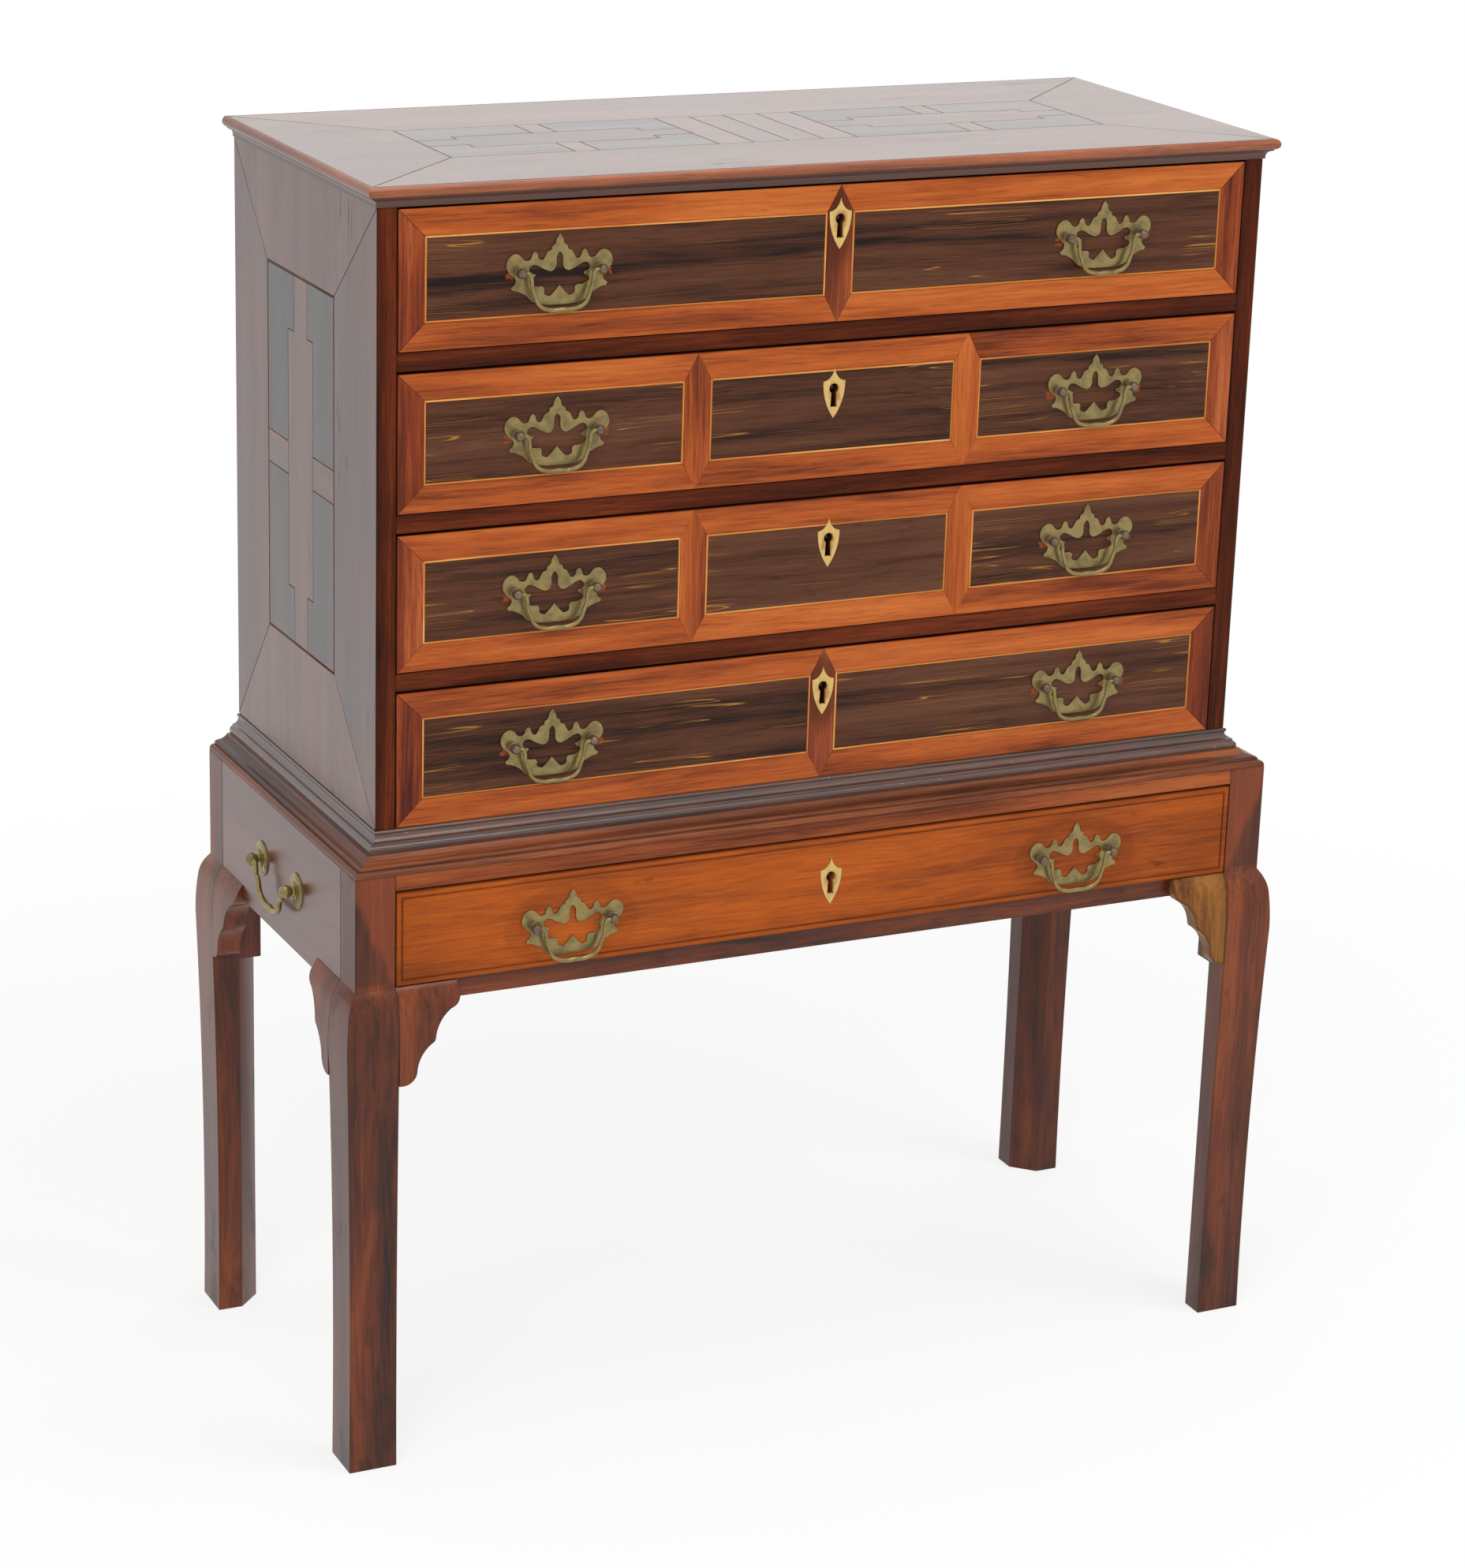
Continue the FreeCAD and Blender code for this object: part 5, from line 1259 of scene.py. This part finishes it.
class CHEST_OT_carry_handles(Handle, bpy.types.Operator):
    """Roses, posts and swinging bails of the two carrying handles"""

    bl_idname = "chest.carry_handles"
    bl_label = "Carrying handles"

    SPACING, DROP, CORNER, ROD = 95.5 * MM, 31.0 * MM, 18.0 * MM, 2.8 * MM
    STANDOFF, HEAD, SHAFT, SWELL = 10.5 * MM, 6.2 * MM, 2.8 * MM, 1.15 * ROD
    ROSE, ROSE_THICK, BOARD, NUT_CHAMFER = 17.0 * MM, 2.4 * MM, 20.0 * MM, 0.0
    NECK, COLLAR, COLLAR_THICK = 0.6 * HEAD, 0.5 * ROSE, 1.2 * MM

    def execute(self, context):
        form = bmesh.new()
        for side, sign in SIDES:
            name = "carry_bail_" + side
            hinge = hinge_of(name + "_hinge")
            turn = Matrix.Rotation(sign * math.radians(90.0), 4, "Z")
            seat = Matrix.Translation((hinge.x - sign * self.STANDOFF, hinge.y, hinge.z)) @ turn
            self.hang(form, name, seat, turn, self.rose(), 0, self.SWELL)
        brass = [metal("cast_brass")]
        make_piece(form, "carry_roses", CARCASS, brass, ["carry_handle_roses"])
        return {"FINISHED"}

    def rose(self):
        """Profile of a post on a stepped round rose."""
        top, rose = -self.ROSE_THICK, self.ROSE
        post = self.post(top)
        steps = [(top, 0.8 * rose), (top + 0.6 * MM, 0.84 * rose), (top + 0.7 * MM, 0.94 * rose),
                 (top + 1.3 * MM, rose), (0.0, rose), (0.0, self.SHAFT)]
        return post[:-3] + steps + post[-2:]


class CHEST_OT_stage(bpy.types.Operator):
    """Floor, white surroundings, soft lamps and the camera"""

    bl_idname = "chest.stage"
    bl_label = "Stage"

    WHITE = (1.0, 1.0, 1.0, 1.0)
    ROOM_LIGHT = 0.4     # the white room's light on the chest, as a share of how bright it looks
    FLOOR_HALF, FLOOR_GLOW = 14.0, 0.79     # the floor's half width, and its glow by the chest
    GLOW_NEAR, GLOW_FAR = 0.7, 1.9         # between these it turns all white outwards
    SENSOR, SIGHT = 36.0, 60.0
    AIM = Vector((0.0, 0.0, 0.7))

    # Each lamp's name, place, width and power, and whether it shows in polished faces
    LAMPS = (
        ("lamp_left", (-2.3, -2.7, 2.5), 2.2, 72.0, False),
        ("lamp_right", (2.6, -2.4, 2.3), 2.2, 56.0, False),
        ("lamp_above", (0.0, 0.2, 3.4), 2.6, 36.0, True),
        ("lamp_glint", (0.9, -2.3, 3.9), 0.8, 12.0, True),
    )

    def execute(self, context):
        context.scene.view_settings.view_transform = "Standard"
        self.floor()
        self.surroundings(context.scene)
        for lamp in self.LAMPS:
            self.lamp(context.scene, *lamp)
        self.camera(context.scene)
        return {"FINISHED"}

    def floor(self):
        form = bmesh.new()
        bmesh.ops.create_grid(form, x_segments=2, y_segments=2, size=self.FLOOR_HALF)
        mesh = bpy.data.meshes.new("floor")
        form.to_mesh(mesh)
        form.free()
        material, strand = start_material("floor_paper")
        seen = seen_by(strand, "Is Camera Ray", "Is Glossy Ray")
        paper = strand.node("BsdfDiffuse", None, {"Color": rgba(colours().floor)})
        glow = strand.node("Emission", None, {"Color": self.WHITE, "Strength": 1.0})
        x, y, _ = strand.place().parts()
        away = (x ** 2.0 + y ** 2.0) ** 0.5
        more = away.rise(self.GLOW_NEAR, self.GLOW_FAR) * (1.0 - self.FLOOR_GLOW)
        share = seen * (self.FLOOR_GLOW + more)
        mixed = strand.node("MixShader", None, {0: share, 1: paper, 2: glow})
        strand.node("OutputMaterial", None, {"Surface": mixed})
        mesh.materials.append(material)
        floor = bpy.data.objects.new("floor", mesh)
        bpy.context.scene.collection.objects.link(floor)

    def surroundings(self, scene):
        world = bpy.data.worlds.new("white_room")
        world.use_nodes = True
        world.node_tree.nodes.clear()
        strand = Strand(world.node_tree)
        seen = seen_by(strand, "Is Camera Ray", "Is Glossy Ray", "Is Transmission Ray")
        light = strand.node("Background", None, {
            "Color": self.WHITE, "Strength": self.ROOM_LIGHT + seen * (1.0 - self.ROOM_LIGHT),
        })
        strand.node("OutputWorld", None, {"Surface": light})
        scene.world = world

    def lamp(self, scene, name, place, size, power, mirrored):
        light = bpy.data.lights.new(name, "AREA")
        light.shape = "DISK"
        light.size = size
        light.energy = power
        lamp = bpy.data.objects.new(name, light)
        lamp.location = place
        lamp.rotation_euler = (self.AIM - lamp.location).to_track_quat("-Z", "Y").to_euler()
        lamp.visible_glossy = mirrored
        scene.collection.objects.link(lamp)

    def camera(self, scene):
        view = scene.chest_view
        az, el, roll = view.azimuth, view.elevation, view.roll
        back = Vector((math.sin(az) * math.cos(el), -math.cos(az) * math.cos(el), math.sin(el)))
        right = Vector((0.0, 0.0, 1.0)).cross(back).normalized()
        up = back.cross(right)
        tilted_right = math.cos(roll) * right + math.sin(roll) * up
        tilted_up = math.cos(roll) * up - math.sin(roll) * right
        data = bpy.data.cameras.new("studio_camera")
        data.sensor_fit = "AUTO"
        data.sensor_width = self.SENSOR
        data.lens = view.lens
        data.clip_end = self.SIGHT
        camera = bpy.data.objects.new("studio_camera", data)
        turn = Matrix((tilted_right, tilted_up, back)).transposed().to_4x4()
        camera.matrix_world = Matrix.Translation(Vector(view.target) + back * view.distance) @ turn
        scene.collection.objects.link(camera)
        scene.camera = camera


PIECES = (
    CHEST_OT_carcass, CHEST_OT_side_veneers, CHEST_OT_top, CHEST_OT_mouldings, CHEST_OT_stand,
    CHEST_OT_drawer_fronts, CHEST_OT_drawer_boxes, CHEST_OT_pulls, CHEST_OT_locks,
    CHEST_OT_carry_handles, CHEST_OT_stage,
)


GROUPS = {"chest_sizes": ChestSizes, "chest_colours": ChestColours, "chest_view": ChestView}


class CHEST_PT_pieces(bpy.types.Panel):
    """Sidebar list of the chest's pieces"""

    bl_idname = "CHEST_PT_pieces"
    bl_label = "Chest on stand"
    bl_space_type = "VIEW_3D"
    bl_region_type = "UI"
    bl_category = "Chest"

    def draw(self, context):
        for piece in PIECES:
            self.layout.operator(piece.bl_idname)
        for name, group in GROUPS.items():
            box = self.layout.box()
            for key in group.__annotations__:
                box.prop(getattr(context.scene, name), key)


def register():
    for group in GROUPS.values():
        bpy.utils.register_class(group)
    for name, group in GROUPS.items():
        setattr(bpy.types.Scene, name, bpy.props.PointerProperty(type=group))
    for piece in PIECES:
        bpy.utils.register_class(piece)
    bpy.utils.register_class(CHEST_PT_pieces)


def unregister():
    bpy.utils.unregister_class(CHEST_PT_pieces)
    for piece in reversed(PIECES):
        bpy.utils.unregister_class(piece)
    for name, group in GROUPS.items():
        delattr(bpy.types.Scene, name)
        bpy.utils.unregister_class(group)


def main():
    register()
    for piece in PIECES:
        getattr(bpy.ops.chest, piece.bl_idname.split(".")[1])()


if __name__ == "__main__":
    main()
